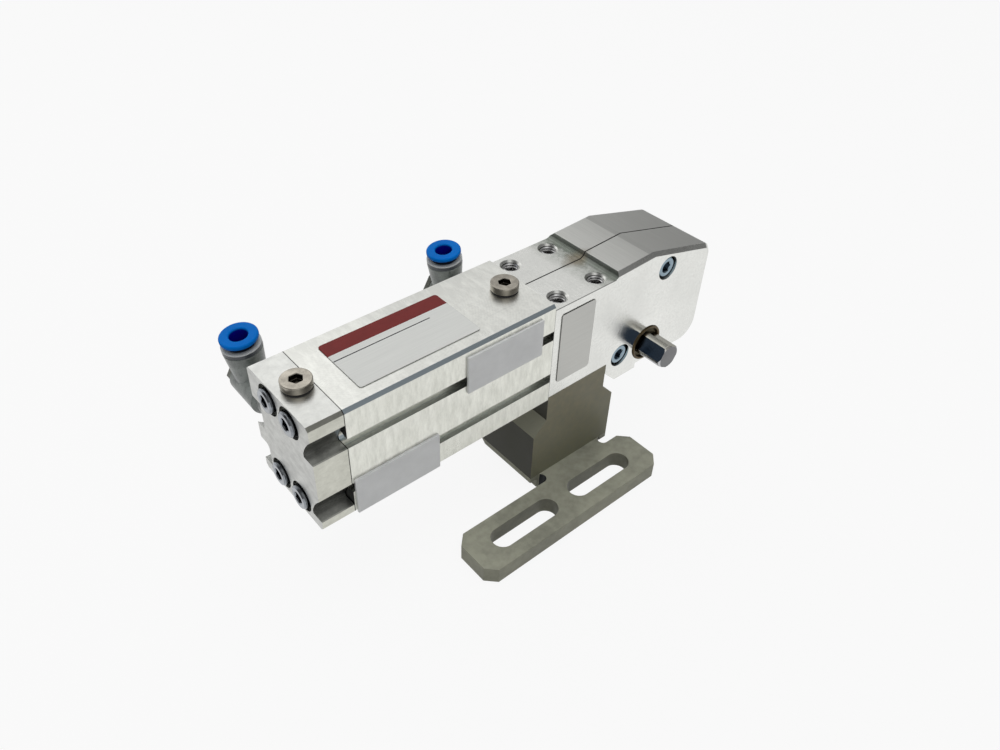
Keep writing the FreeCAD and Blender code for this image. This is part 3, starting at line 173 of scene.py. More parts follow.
class ClampStainsAndPaintedLight(bpy.types.PropertyGroup):
    """Colours of stains and wear, and of painted shade and painted highlights"""

    # Grime in the corner of the step, deepened as painted shade.
    grime_and_shade: colour("Grime", "Grime in the corner of the step", (0.09, 0.10, 0.09))
    specks: colour("Specks", "Grey specks on the pad by the step", (0.21, 0.235, 0.20))
    seam: colour("Seam", "Seam between the halves of the head", (0.05, 0.05, 0.05))
    grease: colour("Grease", "Smudge of grease on the seam", (0.24, 0.20, 0.14))
    # Painted shade in the tapped holes.
    tapped: colour("Tapped holes", "Depth of the pad's holes", (0.03, 0.03, 0.028))
    # Bluish painted reflection on the barrel's slope.
    slope: colour("Slope", "Bluish slope along the barrel", (0.70, 0.81, 0.88))
    # Painted shade on the barrel's near side, with paler streaks.
    barrel_side_shade: colour("Barrel side", "Near side of the barrel", (0.60, 0.605, 0.54))
    barrel_side_shade_pale: colour("Pale barrel side", "Pale streaks on that side", (0.85, 0.855, 0.78))
    barrel_end: colour("Barrel end", "Shaded rear end of the barrel", (0.04, 0.04, 0.04))
    # Painted shade on the near side of the rear cap, with paler patches.
    cap_side_shade: colour("Cap side", "Near side of the rear cap", (0.51, 0.51, 0.45))
    cap_side_shade_pale: colour("Pale cap side", "Pale patches on that side", (0.64, 0.64, 0.57))
    cap_joint: colour("Cap joint", "Joint of cap and barrel", (0.03, 0.03, 0.03))
    dust: colour("Dust", "Dust on the foot", (0.26, 0.27, 0.25))
    # Painted shade in the reliefs beside the foot's neck.
    relief: colour("Relief", "Shaded reliefs beside the foot's neck", (0.012, 0.015, 0.016))
    block_low: colour("Block low", "Near face of the block, at its foot", (0.185, 0.182, 0.115))
    block_high: colour("Block high", "Near face of the block, at its top", (0.28, 0.25, 0.165))
    # Sides of the block painted dark as shade under the barrel, with paler patches.
    flank_shade: colour("Rolled side", "Dark rolled sides of the block", (0.020, 0.020, 0.013))
    flank_shade_pale: colour("Pale rolled side", "Paler patches on those sides", (0.040, 0.040, 0.027))
    # Painted dark blue reflection on two flats of the shaft, with paler patches.
    reflected_blue: colour("Blued", "Blued flats of the shaft", (0.06, 0.09, 0.135))
    reflected_blue_pale: colour("Pale blued", "Paler patches on those flats", (0.10, 0.14, 0.21))
    # Painted reflection on the upper flat of the shaft.
    upper_flat_reflection: colour("Upper flat", "Upper flat of the shaft", (0.17, 0.16, 0.125))
    # Painted highlight on the shaft's corner.
    corner: colour("Corner", "Bright corner of the shaft", (1.0, 0.98, 0.90))
    # Painted shade on the shaft inside its bush.
    recess_shade: colour("Recess", "Shaft inside its bush", (0.10, 0.085, 0.05))
    # Painted shade in the plugs' sockets.
    plug_socket_shade: colour("Plug socket", "Sockets of the plugs", (0.09, 0.08, 0.068))
    # Painted shade in the screws' sockets.
    screw_socket_shade: colour("Screw socket", "Sockets of the screws", (0.22, 0.26, 0.30))
    screw_blue: colour("Screw blue", "Bluer plating of the head's screws", (0.24, 0.36, 0.44))
    # Painted shade on the sleeve under a release ring's rim.
    sleeve_shade: colour("Sleeve", "Sleeve under a release ring's rim", (0.012, 0.016, 0.03))
    # Deep blue painted shade in a release ring's bore.
    bore_shade: colour("Bore", "Bore of a release ring", (0.004, 0.004, 0.30))
    # Painted highlight on a collar's upper edge.
    lip_highlight: colour("Lip", "Pale lip of a collar", (0.5, 0.52, 0.52))
    elbow_patch: colour("Elbow patch", "Dark patches on the elbows", (0.05, 0.056, 0.055))


class ClampStage(bpy.types.PropertyGroup):
    """Camera, floor and light"""

    camera_place: place("Camera place", "Where the camera stands", (-0.16326, -0.14255, 0.25306))
    camera_turn: bpy.props.FloatVectorProperty(
        name="Camera turn", description="How the camera is turned",
        default=[math.radians(angle) for angle in (50.241, -1.162, -39.752)], size=3, subtype="EULER",
    )
    lens: number("Lens", "Focal length in millimetres", 30.02, "CAMERA")
    shift: bpy.props.FloatVectorProperty(
        name="Shift", description="Shift of the picture", default=(0.0132, -0.0141), size=2, precision=4
    )
    sky: number("Sky", "Strength of the surrounding light", 0.80)
    backdrop: number("Backdrop", "Strength of the white behind the floor", 0.95)
    glow: number("Glow", "Share of plain white in the floor", 0.90)
    key: number("Key", "Power of the soft lamp behind", 2.0, "POWER")
    key_place: place("Key place", "Where that lamp hangs", (-0.15, 0.95, 0.95))
    top: number("Top", "Power of the soft lamp above", 6.4, "POWER")
    top_place: place("Top place", "Where that lamp hangs", (-0.1, -0.1, 1.25))
    aim: place("Aim", "Where both lamps point", (0.0, 0.03, 0.05))


def looks():
    """Colours of the finishes, as set."""
    return bpy.context.scene.clamp_finishes


def stains_and_painted_light():
    """Colours of stains and wear, and of painted shade and painted highlights, as set."""
    return bpy.context.scene.clamp_stains


# Meshes

def add_object(name, data):
    """A new object in the scene."""
    thing = bpy.data.objects.new(name, data)
    bpy.context.scene.collection.objects.link(thing)
    return thing


def mesh_of(name, shape):
    """Mesh made from a shape, which is then freed."""
    mesh = bpy.data.meshes.new(name)
    shape.to_mesh(mesh)
    shape.free()
    return mesh


def shade(mesh, degrees):
    """Smooth faces that keep the edges sharper than an angle."""
    mesh.shade_smooth()
    mesh.set_sharp_from_angle(angle=math.radians(degrees))


def settle_normals(thing):
    """Let the large faces set the shading across small rounded edges."""
    weighted = thing.modifiers.new("weighted", "WEIGHTED_NORMAL")
    weighted.keep_sharp = True
    weighted.weight = 80
    graph = bpy.context.evaluated_depsgraph_get()
    plain = bpy.data.meshes.new_from_object(
        thing.evaluated_get(graph), preserve_all_data_layers=True, depsgraph=graph
    )
    thing.modifiers.remove(weighted)
    thing.data = plain


def dress(thing, node, finish=None):
    """Give a piece its finish, else that of its slot, and its body, and hide the CAD node it stands for."""
    thing.data.materials.clear()
    thing.data.materials.append(finish_of(finish or SLOT_OF[node]))
    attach(thing, BODY_OF[node])
    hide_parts(node)


def merged_shape(node):
    """Mesh of a CAD node with its loose triangles joined."""
    shape = bmesh.new()
    shape.from_mesh(NODES[node].data)
    bmesh.ops.remove_doubles(shape, verts=shape.verts, dist=2e-6)
    return shape


def rounded_copy(node, width, segments=2, finish=None):
    """A copy of a CAD node with its sharp edges slightly rounded."""
    shape = merged_shape(node)
    bmesh.ops.dissolve_limit(
        shape, angle_limit=math.radians(0.5), verts=shape.verts, edges=shape.edges, delimit=set()
    )
    sharp = [e for e in shape.edges if len(e.link_faces) == 2 and e.calc_face_angle() > math.radians(28)]
    bmesh.ops.bevel(
        shape, geom=sharp, offset=width, offset_type="OFFSET", segments=segments, profile=0.55,
        affect="EDGES", clamp_overlap=True, loop_slide=True,
    )
    bmesh.ops.triangulate(shape, faces=[f for f in shape.faces if len(f.verts) > 4])
    thing = add_object(node + "_piece", mesh_of(node + "_piece", shape))
    shade(thing.data, 40)
    settle_normals(thing)
    dress(thing, node, finish)


def turned_ring(shape, profile, place, steps=64):
    """A closed ring turned from (radius, height) points about the X axis through a place."""
    rings = []
    for radius, height in profile:
        ring = []
        for step in range(steps):
            angle = 2 * math.pi * step / steps
            spoke = Vector((height, radius * math.sin(angle), -radius * math.cos(angle)))
            ring.append(shape.verts.new(place + spoke))
        rings.append(ring)
    for low, high in zip(rings, rings[1:] + rings[:1]):
        for step in range(steps):
            after = (step + 1) % steps
            shape.faces.new([low[step], low[after], high[after], high[step]])


def loose_boxes(node):
    """Lowest and highest corners of each separate solid of a CAD node."""
    shape = merged_shape(node)
    todo = set(shape.verts)
    boxes = []
    while todo:
        island = [todo.pop()]
        for vert in island:
            for edge in vert.link_edges:
                other = edge.other_vert(vert)
                if other in todo:
                    todo.remove(other)
                    island.append(other)
        points = np.array([v.co for v in island])
        boxes.append((Vector(points.min(0)), Vector(points.max(0))))
    shape.free()
    return sorted(boxes, key=lambda box: tuple(round(c, 5) for c in box[0]))


# Node trees

class Nodes:
    """A node tree under construction."""

    def __init__(self, tree):
        self.tree = tree

    def feed(self, socket, value):
        """Link an input to an output, or set it to a plain value."""
        if isinstance(value, bpy.types.NodeSocket):
            self.tree.links.new(value, socket)
        else:
            socket.default_value = value

    def node(self, kind, settings=None, **inputs):
        """A new node. Its inputs are given by name, or by place as i0, i1 and so on."""
        node = self.tree.nodes.new(kind)
        for name, setting in (settings or {}).items():
            setattr(node, name, setting)
        for name, value in inputs.items():
            key = int(name[1:]) if name[0] == "i" and name[1:].isdigit() else name.replace("_", " ")
            self.feed(node.inputs[key], value)
        return node

    def math(self, operation, first, second=0.0):
        return self.node("ShaderNodeMath", {"operation": operation}, i0=first, i1=second).outputs[0]

    def plus(self, first, second):
        return self.math("ADD", first, second)

    def minus(self, first, second):
        return self.math("SUBTRACT", first, second)

    def times(self, first, second):
        return self.math("MULTIPLY", first, second)

    def size(self, value):
        return self.math("ABSOLUTE", value)

    def above(self, value, limit):
        return self.math("GREATER_THAN", value, limit)

    def below(self, value, limit):
        return self.math("LESS_THAN", value, limit)

    def vector(self, operation, first, second=(0, 0, 0)):
        """Outputs of a vector operation."""
        return self.node("ShaderNodeVectorMath", {"operation": operation}, i0=first, i1=second).outputs


# Materials

def tone(colour, factor):
    """A colour made darker or lighter."""
    return tuple(min(1.0, c * factor) for c in colour)


class Finish(Nodes):
    """A node material under construction, with a Principled shader and masks for dull and shiny places."""

    def __init__(self, name, metallic=0.0, specular=0.5):
        self.material = bpy.data.materials.new(name)
        self.material.use_nodes = True
        super().__init__(self.material.node_tree)
        self.shader = self.tree.nodes["Principled BSDF"]
        self.shader.inputs["Metallic"].default_value = metallic
        self.shader.inputs["Specular IOR Level"].default_value = specular
        self.dull = None
        self.shine = None

    def source(self, kind):
        """Texture coordinates of one kind."""
        return self.node("ShaderNodeTexCoord").outputs[kind]

    def place(self, scale=(1, 1, 1), turn=(0, 0, 0), centre=(0, 0, 0)):
        """Object coordinates, moved so that a centre is at zero, then turned and scaled."""
        moved = self.vector("SUBTRACT", self.source("Object"), centre)[0]
        return self.node("ShaderNodeMapping", Vector=moved, Rotation=turn, Scale=scale).outputs[0]

    def spot(self):
        """X, Y and Z of the point in object coordinates."""
        return self.node("ShaderNodeSeparateXYZ", Vector=self.source("Object")).outputs

    def facing(self):
        """X, Y and Z of the surface's own way out."""
        return self.node("ShaderNodeSeparateXYZ", Vector=self.source("Normal")).outputs

    def along(self, way):
        """How far the surface's own way out agrees with a given way."""
        return self.vector("DOT_PRODUCT", self.source("Normal"), way)["Value"]

    def level(self):
        """Where the surface faces neither the near nor the far side."""
        return self.below(self.size(self.facing()[1]), 0.5)

    def noise(self, vector, scale=1.0, detail=4.0, rough=0.55):
        """Cloudy values about one half."""
        node = self.node("ShaderNodeTexNoise", Vector=vector, Scale=scale, Detail=detail, Roughness=rough)
        return node.outputs["Fac"]

    def rings(self, vector, scale, axis):
        """Waves that run in rings about an axis."""
        node = self.node(
            "ShaderNodeTexWave", {"wave_type": "RINGS", "rings_direction": axis},
            Vector=vector, Scale=scale, Distortion=1.2, Detail=2.0, Detail_Scale=2.0,
        )
        return node.outputs["Fac"]

    def spread(self, value, low, high, from_low=0.0, from_high=1.0):
        """A value taken from one range to another, and held at its ends."""
        node = self.node("ShaderNodeMapRange", Value=value, i1=from_low, i2=from_high, i3=low, i4=high)
        return node.outputs["Result"]

    def rise(self, value, start, full):
        """A mask that rises from 0 at the start to 1 where it is full."""
        return self.spread(value, 0.0, 1.0, start, full)

    def fade(self, value, full, gone):
        """A mask that falls from 1 where it is full to 0 where it is gone."""
        return self.spread(value, 1.0, 0.0, full, gone)

    def away(self, value, place):
        """Distance of a value from a place on either side of it."""
        return self.size(self.minus(value, place))

    def both(self, *masks):
        """Where all of the masks meet."""
        result = masks[0]
        for mask in masks[1:]:
            result = self.times(result, mask)
        return result

    def within(self, area):
        """Where a point is between the two limits given for each axis."""
        spot = self.spot()
        masks = []
        for axis, (low, high) in area.items():
            masks.append(self.below(self.away(spot[axis], (low + high) / 2), (high - low) / 2))
        return self.both(*masks)

    def pits(self, centres, axis, radius):
        """Where a point is within a radius of any of the lines along an axis through the centres."""
        spot = self.spot()
        first, second = [i for i in range(3) if i != axis]
        nearest = None
        for centre in centres:
            one = self.math("POWER", self.minus(spot[first], centre[first]), 2.0)
            two = self.math("POWER", self.minus(spot[second], centre[second]), 2.0)
            gap = self.plus(one, two)
            nearest = gap if nearest is None else self.math("MINIMUM", nearest, gap)
        return self.below(nearest, radius ** 2)

    def blend(self, fac, first, second):
        """Mix of two colours."""
        node = self.node("ShaderNodeMix", {"data_type": "RGBA"})
        self.feed(node.inputs["Factor"], fac)
        for socket, tint in zip((node.inputs[6], node.inputs[7]), (first, second)):
            self.feed(socket, tint if isinstance(tint, bpy.types.NodeSocket) else (*tint, 1.0))
        return node.outputs[2]

    def mottle(self, fac, colour, low, high):
        """Mix of a darker and a lighter tone of one colour."""
        return self.blend(fac, tone(colour, low), tone(colour, high))

    def bump(self, height, strength, distance, below=None):
        """Normal of a fine relief, on top of another one if given."""
        node = self.node("ShaderNodeBump", Height=height, Strength=strength, Distance=distance)
        if below is not None:
            self.feed(node.inputs["Normal"], below)
        return node.outputs["Normal"]

    def done(self, colour, rough, normal=None):
        """Join colour, roughness and normal to the shader."""
        self.feed(self.shader.inputs["Base Color"], colour)
        self.feed(self.shader.inputs["Roughness"], rough)
        if normal is not None:
            self.feed(self.shader.inputs["Normal"], normal)


def milled_metal(
    name, colour, rough, arcs, centre, axis, streak, arc_strength=0.22, metallic=1.0, cloudy=0.86, stain_and_painted_light=None
):
    """Machined metal with arcs left by the cutter, faint blotches, streaks and fine scratches."""
    finish = Finish(name, metallic, 0.15)
    here = finish.place()
    blotch = finish.noise(here, 60.0, detail=5.0)
    cloud = finish.noise(here, 14.0, detail=3.0)
    long_grain = finish.noise(finish.place(scale=streak), 260.0, detail=3.0)
    around = finish.place(centre=centre)
    level = finish.level()
    sides = finish.times(finish.rings(around, arcs * 1.2, "Y"), finish.minus(1.0, level))
    cutter = finish.plus(sides, finish.times(finish.rings(around, arcs, axis), level))
    mixed = finish.plus(finish.times(blotch, 0.6), finish.times(cloud, 0.4))
    tint = finish.mottle(finish.rise(mixed, 0.34, 0.66), colour, cloudy, 1.06)
    scratch = finish.noise(finish.place(scale=(40, 900, 900), turn=(0.3, 0.5, 0.4)), detail=2.0)
    tint = finish.blend(finish.spread(scratch, 0.0, 0.3, 0.66, 0.74), tint, tone(colour, 0.62))
    rubbed = finish.noise(here, 900.0, rough=0.65)
    tint = finish.blend(finish.spread(rubbed, 0.0, 0.55, 0.42, 0.66), tint, tone(colour, 0.80))
    worn = finish.times(cutter, finish.spread(cloud, 0.15, 0.65, 0.35, 0.65))
    tint = finish.blend(worn, tint, tone(colour, 0.84))
    # A piece's own stains, and its painted shade and highlights where it has them.
    if stain_and_painted_light is not None:
        tint = stain_and_painted_light(finish, tint, blotch)
    grain = finish.plus(mixed, finish.times(long_grain, 0.3))
    gloss = finish.spread(grain, rough * 0.78, rough * 1.3, 0.35, 0.95)
    if finish.dull is not None:
        gloss = finish.math("MAXIMUM", gloss, finish.times(finish.dull, 0.5))
    if finish.shine is not None:
        gloss = finish.times(gloss, finish.spread(finish.shine, 1.0, 0.4))
    normal = finish.bump(cutter, arc_strength, 0.00002)
    normal = finish.bump(long_grain, 0.16, 0.00003, normal)
    finish.done(tint, gloss, finish.bump(blotch, 0.12, 0.00008, normal))


def plated_metal(name, colour, rough, grain=420.0, uneven=0.15, stain_and_painted_light=None):
    """Plated metal with cloudy tone and a fine grain."""
    finish = Finish(name, metallic=1.0)
    here = finish.place()
    cloud = finish.noise(here, 340.0)
    speck = finish.noise(here, grain * 4, detail=2.0)
    tint = finish.mottle(finish.rise(cloud, 0.35, 0.65), colour, 0.72, 1.12)
    if stain_and_painted_light is not None:
        tint = stain_and_painted_light(finish, tint)
    gloss = finish.spread(speck, rough * 0.8, rough * 1.35, 0.3, 0.7)
    normal = finish.bump(speck, uneven * 0.5, 0.00004, finish.bump(cloud, uneven, 0.00006))
    finish.done(tint, gloss, normal)


def moulded(name, colour, rough, speckle=0.12, specular=0.5, stain_and_painted_light=None):
    """Moulded plastic with a fine surface grain and slight tone changes."""
    finish = Finish(name, specular=specular)
    here = finish.place()
    cloud = finish.noise(here, 160.0)
    grain = finish.noise(here, 1800.0, detail=2.0)
    tint = finish.mottle(finish.rise(cloud, 0.3, 0.7), colour, 1 - speckle, 1 + speckle)
    if stain_and_painted_light is not None:
        tint = stain_and_painted_light(finish, tint)
    gloss = finish.spread(grain, rough * 0.85, rough * 1.2, 0.3, 0.7)
    finish.done(tint, gloss, finish.bump(grain, 0.1, 0.00003))


def label_foil(name, node, colour, metallic, axis, rim_tone, ruled=None, band_from=None):
    """Brushed foil with a thin darker rim, and on the top label a ruled area and a band past a place."""
    finish = Finish(name, metallic, 0.2)
    spot = finish.spot()
    grain = finish.noise(finish.place(scale=(60, 2400, 2400)), detail=2.0)
    tint = finish.mottle(grain, colour, 0.90, 1.08)
    low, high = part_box(node)
    rim = 0.00012
    inner = finish.within({0: (low.x + rim, high.x - rim), axis: (low[axis] + rim, high[axis] - rim)})
    edge = finish.minus(1.0, inner)
    if band_from is not None:
        tint = finish.blend(finish.within(ruled), tint, looks().rule)
        worn = finish.noise(finish.place(), 300.0, detail=3.0)
        red = finish.mottle(worn, looks().band, 0.85, 1.2)
        tint = finish.blend(finish.above(spot[axis], band_from), tint, red)
        edge = finish.both(edge, finish.below(spot[axis], band_from))
    tint = finish.blend(edge, tint, tone(colour, rim_tone))
    finish.done(tint, finish.spread(grain, 0.3, 0.42), finish.bump(grain, 0.05, 0.00002))


# Stains and painted shade of the head

def pad_threads():
    """Place of the tapped pad holes' pattern, the four hole centres and the hole radius."""
    mount = next(m for m in RECORD["mounts"] if m["name"] == "head_top_threads")
    place, dims = Vector(mount["pos_m"]), mount["dims"]
    reach = Vector((dims["spacing_x_mm"], dims["spacing_y_mm"], 0.0)) * MM / 2
    spots = [place + Vector((x * reach.x, y * reach.y, 0.0)) for y in (-1, 1) for x in (-1, 1)]
    return place, spots, dims["hole_r_mm"] * MM


def crown_stain_and_shade(finish, tint, step_x):
    """Ground crest, and a falling face past the step painted darker as shade."""
    way = finish.facing()
    past_step = finish.rise(finish.spot()[0], step_x + 0.0004, step_x + 0.0012)
    finish.dull = finish.both(past_step, finish.rise(way[2], 0.75, 0.92))
    ground = finish.noise(finish.place(scale=(3000, 60, 60)), detail=2.0)
    crest = finish.mottle(ground, looks().head_aluminium, 0.68, 0.83)
    # The falling face is painted darker than the crest, as shade.
    fall = finish.mottle(ground, looks().head_aluminium, 0.53, 0.66)
    return finish.blend(finish.dull, tint, finish.blend(finish.above(way[0], 0.12), crest, fall))


def step_stain_and_shade(finish, tint, blotch, step_x, pad_z):
    """Grime and painted shade in the corner of the step, and specks on the pad before it."""
    low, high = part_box("head_half_near")
    x, y, z = finish.spot()
    raised = finish.both(finish.level(), finish.above(z, pad_z - 0.0002))
    after = finish.rise(x, step_x - 0.0026, step_x - 0.0014)
    before = finish.fade(x, step_x + 0.0007, step_x + 0.0010)
    # Grime in the corner of the step, deepened as painted shade.
    grime_and_shade = finish.both(after, before, raised, finish.spread(blotch, 0.72, 1.0, 0.4, 0.6))
    tint = finish.blend(grime_and_shade, tint, stains_and_painted_light().grime_and_shade)
    speck = finish.spread(finish.noise(finish.place(), 420.0), 0.58, 1.0, 0.40, 0.62)
    near_step = finish.both(finish.rise(x, step_x - 0.013, step_x - 0.003), before, raised)
    farther = finish.spread(y, 0.8, 1.0, low.y, high.y + 0.012)
    return finish.blend(finish.both(near_step, speck, farther), tint, stains_and_painted_light().specks)


def seam_stain(finish, tint, blotch, step_x, pad_z):
    """Dark seam between the halves, and a smudge of grease on it."""
    x, y, z = finish.spot()
    aside = finish.away(y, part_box("head_half_near")[1].y)
    upper = finish.above(z, pad_z - 0.006)
    tint = finish.blend(finish.both(finish.below(aside, 0.00026), upper), tint, stains_and_painted_light().seam)
    back = finish.away(x, step_x - 0.0035)
    reach = finish.plus(finish.times(aside, 1.3), finish.times(back, 0.8))
    reach = finish.plus(reach, finish.times(blotch, -0.012))
    smudge = finish.both(finish.spread(reach, 0.7, 0.0, -0.003, 0.0025), upper, finish.level())
    return finish.blend(smudge, tint, stains_and_painted_light().grease)


def edge_stain(finish, tint, step_x, pad_z):
    """Dark joint with the barrel, and a dark line along the pad's near edge."""
    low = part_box("head_half_near")[0]
    x, y, z = finish.spot()
    joint = finish.below(x, low.x + 0.00016)
    near_pad = finish.both(finish.below(y, low.y + 0.00022), finish.below(x, step_x - 0.001))
    edge = finish.both(near_pad, finish.fade(finish.away(z, pad_z), 0.0001, 0.0003))
    return finish.blend(finish.math("MAXIMUM", joint, edge), tint, tone(looks().head_aluminium, 0.30))


def head_stain_and_shade(finish, tint, blotch):
    """Crown with painted shade on its falling face, step with grime and painted shade, stained seam and
    edges, painted shade in the tapped holes, and a shine around the shaft.
    """
    place, spots, radius = pad_threads()
    step_x = place.x + STEP_AHEAD
    pad_z = place.z + PAD_RISE
    tint = crown_stain_and_shade(finish, tint, step_x)
    tint = step_stain_and_shade(finish, tint, blotch, step_x, pad_z)
    tint = seam_stain(finish, tint, blotch, step_x, pad_z)
    tint = edge_stain(finish, tint, step_x, pad_z)
    low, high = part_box("output_shaft")
    off_axis = finish.vector("LENGTH", finish.place(scale=(1, 0, 1), centre=(low + high) / 2))["Value"]
    finish.shine = finish.fade(off_axis, 0.012, 0.024)
    # Painted shade deep in the tapped holes.
    sunk = finish.below(finish.spot()[2], place.z + THREAD_LIFT)
    deep = finish.both(finish.pits(spots, axis=2, radius=radius + 0.0001), sunk)
    return finish.blend(deep, tint, stains_and_painted_light().tapped)


# Stains, painted shade and painted light of barrel, cap, bracket and shaft

def barrel_stain_and_shade(finish, tint, blotch):
    """Darker far edge and pale smears on the top, a bluish painted reflection on the slope, painted shade on
    the near side with streaks, and painted shade on the rear end.
    """
    aluminium = looks().aluminium
    far_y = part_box("cylinder_barrel")[1].y
    way = finish.facing()
    top = finish.above(way[2], 0.9)
    far = finish.rise(finish.spot()[1], far_y - 0.016, far_y - 0.002)
    tint = finish.blend(finish.both(far, top), tint, tone(aluminium, 0.86))
    smear = finish.noise(finish.place(scale=(380, 120, 60), turn=(0.0, 0.0, 0.5)), detail=6.0, rough=0.7)
    pale = finish.both(finish.spread(smear, 0.0, 0.55, 0.46, 0.66), top)
    tint = finish.blend(pale, tint, tone(aluminium, 1.14))
    # Bluish painted reflection on the slope.
    slope = finish.above(finish.along((0.0, -0.707, 0.707)), 0.95)
    tint = finish.blend(slope, tint, stains_and_painted_light().slope)
    # Painted shade on the near side, with paler streaks.
    streak = finish.noise(finish.place(scale=(420, 140, 110), turn=(0.0, 0.25, 0.0)), detail=6.0, rough=0.7)
    side = finish.blend(finish.rise(streak, 0.36, 0.64), stains_and_painted_light().barrel_side_shade, stains_and_painted_light().barrel_side_shade_pale)
    tint = finish.blend(finish.spread(way[1], 0.7, 0.0, -0.95, -0.85), tint, side)
    # Painted shade on the rear end.
    return finish.blend(finish.below(way[0], -0.5), tint, stains_and_painted_light().barrel_end)


def cap_stain_and_painted_light(finish, tint, blotch):
    """Mottled rear face, near side and top, with painted shade on the rear face, the near side and the
    pockets, painted light on the top, and a dark joint with the barrel.
    """
    aluminium = looks().cap_aluminium
    low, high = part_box("end_cap")
    way = finish.facing()
    rubbed = finish.noise(finish.place(scale=(240, 240, 420)), detail=6.0, rough=0.7)
    rubbed = finish.rise(rubbed, 0.36, 0.64)
    # Rear face painted darker as shade, with mottling.
    tint = finish.blend(finish.below(way[0], -0.7), tint, finish.mottle(rubbed, aluminium, 0.68, 0.93))
    # Near side painted as shade, with paler patches.
    side = finish.blend(rubbed, stains_and_painted_light().cap_side_shade, stains_and_painted_light().cap_side_shade_pale)
    tint = finish.blend(finish.below(way[1], -0.7), tint, side)
    # Top painted lighter as light falling on it, with mottling.
    tint = finish.blend(finish.above(way[2], 0.9), tint, finish.mottle(rubbed, aluminium, 1.04, 1.24))
    # Painted shade in the pockets of the near side.
    inside = finish.within({1: (low.y + 0.0006, low.y + 0.008), 2: (low.z + 0.0015, high.z - 0.0015)})
    pockets = finish.both(inside, finish.below(finish.size(way[0]), 0.5))
    tint = finish.blend(pockets, tint, finish.mottle(rubbed, aluminium, 0.60, 0.92))
    joint = finish.above(finish.spot()[0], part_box("cylinder_barrel")[0].x - 0.00028)
    return finish.blend(joint, tint, stains_and_painted_light().cap_joint)


def foot_tone(finish, blotch, fine):
    """Mottled dusty top painted lighter as light, and sides with painted shade in the slots and in the
    reliefs beside the neck.
    """
    steel = looks().bracket
    low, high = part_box("slotted_foot")
    # The foot's bar lies evenly about y = 0.
    half = -low.y
    patch = finish.plus(finish.times(blotch, 0.6), finish.times(fine, 0.4))
    patch = finish.rise(patch, 0.38, 0.62)
    slots = finish.within({0: (low.x + 0.002, high.x - 0.002), 1: (0.002 - half, half - 0.0009)})
    reliefs = finish.within({1: (half + 0.00005, half + 0.0041)})
    side = finish.mottle(patch, steel, 1.0, 1.4)
    # Painted shade on the walls of the slots.
    side = finish.blend(slots, side, finish.mottle(patch, steel, 0.72, 1.05))
    # Painted shade in the reliefs beside the neck.
    side = finish.blend(reliefs, side, stains_and_painted_light().relief)
    # Top painted lighter as light falling on it, with dust.
    top = finish.blend(0.2, finish.mottle(patch, steel, 1.15, 1.9), stains_and_painted_light().dust)
    return finish.blend(finish.rise(finish.facing()[2], 0.5, 0.8), side, top)


def block_tone(finish, blotch, fine):
    """Warm near face that pales upwards, and sides painted dark as shade under the barrel."""
    steel = looks().bracket
    foot_top, block_top = (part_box(node)[1].z for node in ("slotted_foot", "bracket_block"))
    way = finish.facing()
    height = finish.rise(finish.spot()[2], foot_top, block_top)
    warm = finish.blend(height, stains_and_painted_light().block_low, stains_and_painted_light().block_high)
    face = finish.blend(fine, tone(steel, 0.8), warm)
    block = finish.blend(finish.below(way[1], -0.7), tone(steel, 0.95), face)
    # Sides painted dark as shade under the barrel, with paler patches.
    dark = finish.blend(blotch, stains_and_painted_light().flank_shade, stains_and_painted_light().flank_shade_pale)
    return finish.blend(finish.rise(finish.size(way[0]), 0.75, 0.9), block, dark)


def bracket_stain_and_painted_light(finish, tint, blotch):
    """Tones of the foot, and of the flared block above it, each with painted light and shade."""
    fine = finish.noise(finish.place(), 330.0, detail=5.0)
    above = finish.above(finish.spot()[2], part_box("slotted_foot")[1].z + 0.0002)
    return finish.blend(above, foot_tone(finish, blotch, fine), block_tone(finish, blotch, fine))


def shaft_painted_light(finish, tint, blotch):
    """Painted dark blue reflection on two flats and painted reflection on the upper flat, a painted
    highlight on the corner between, a duller, darker end, and painted shade in the recess in the bush.
    """
    sine, cosine = math.sin(SQUARE_TURN), math.cos(SQUARE_TURN)
    rear = finish.along((-cosine, 0.0, sine))
    upper = finish.along((sine, 0.0, cosine))
    under = finish.along((-sine, 0.0, -cosine))
    # Painted dark blue reflection on the two flats.
    reflected_blue = finish.blend(blotch, stains_and_painted_light().reflected_blue, stains_and_painted_light().reflected_blue_pale)
    tint = finish.blend(finish.above(finish.math("MAXIMUM", rear, under), 0.96), tint, reflected_blue)
    # Painted reflection on the upper flat.
    tint = finish.blend(finish.above(upper, 0.96), tint, stains_and_painted_light().upper_flat_reflection)
    # Painted highlight on the corner between the flats.
    between = [finish.both(finish.below(flat, 0.96), finish.above(flat, 0.3)) for flat in (rear, upper)]
    tint = finish.blend(finish.both(*between), tint, stains_and_painted_light().corner)
    finish.dull = finish.above(finish.along((0.0, -1.0, 0.0)), 0.9)
    tint = finish.blend(finish.dull, tint, finish.mottle(blotch, looks().shaft, 0.28, 0.50))
    # Painted shade on the shaft inside its bush.
    sunk = finish.above(finish.spot()[1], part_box("head_half_near")[0].y - 0.0001)
    return finish.blend(sunk, tint, stains_and_painted_light().recess_shade)


# Stains, painted shade and painted highlights of plugs, screws and fittings

def middles(boxes):
    """Middle points of boxes."""
    return [(low + high) / 2 for low, high in boxes]


def plug_shade(finish, tint):
    """Painted shade in the plugs' hexagon sockets."""
    boxes = loose_boxes("port_plugs")
    # Painted shade in the plugs' sockets.
    sunk = finish.below(finish.spot()[2], boxes[0][1].z - 0.0005)
    pits = finish.pits(middles(boxes), axis=2, radius=0.00245)
    return finish.blend(finish.both(sunk, pits), tint, stains_and_painted_light().plug_socket_shade)


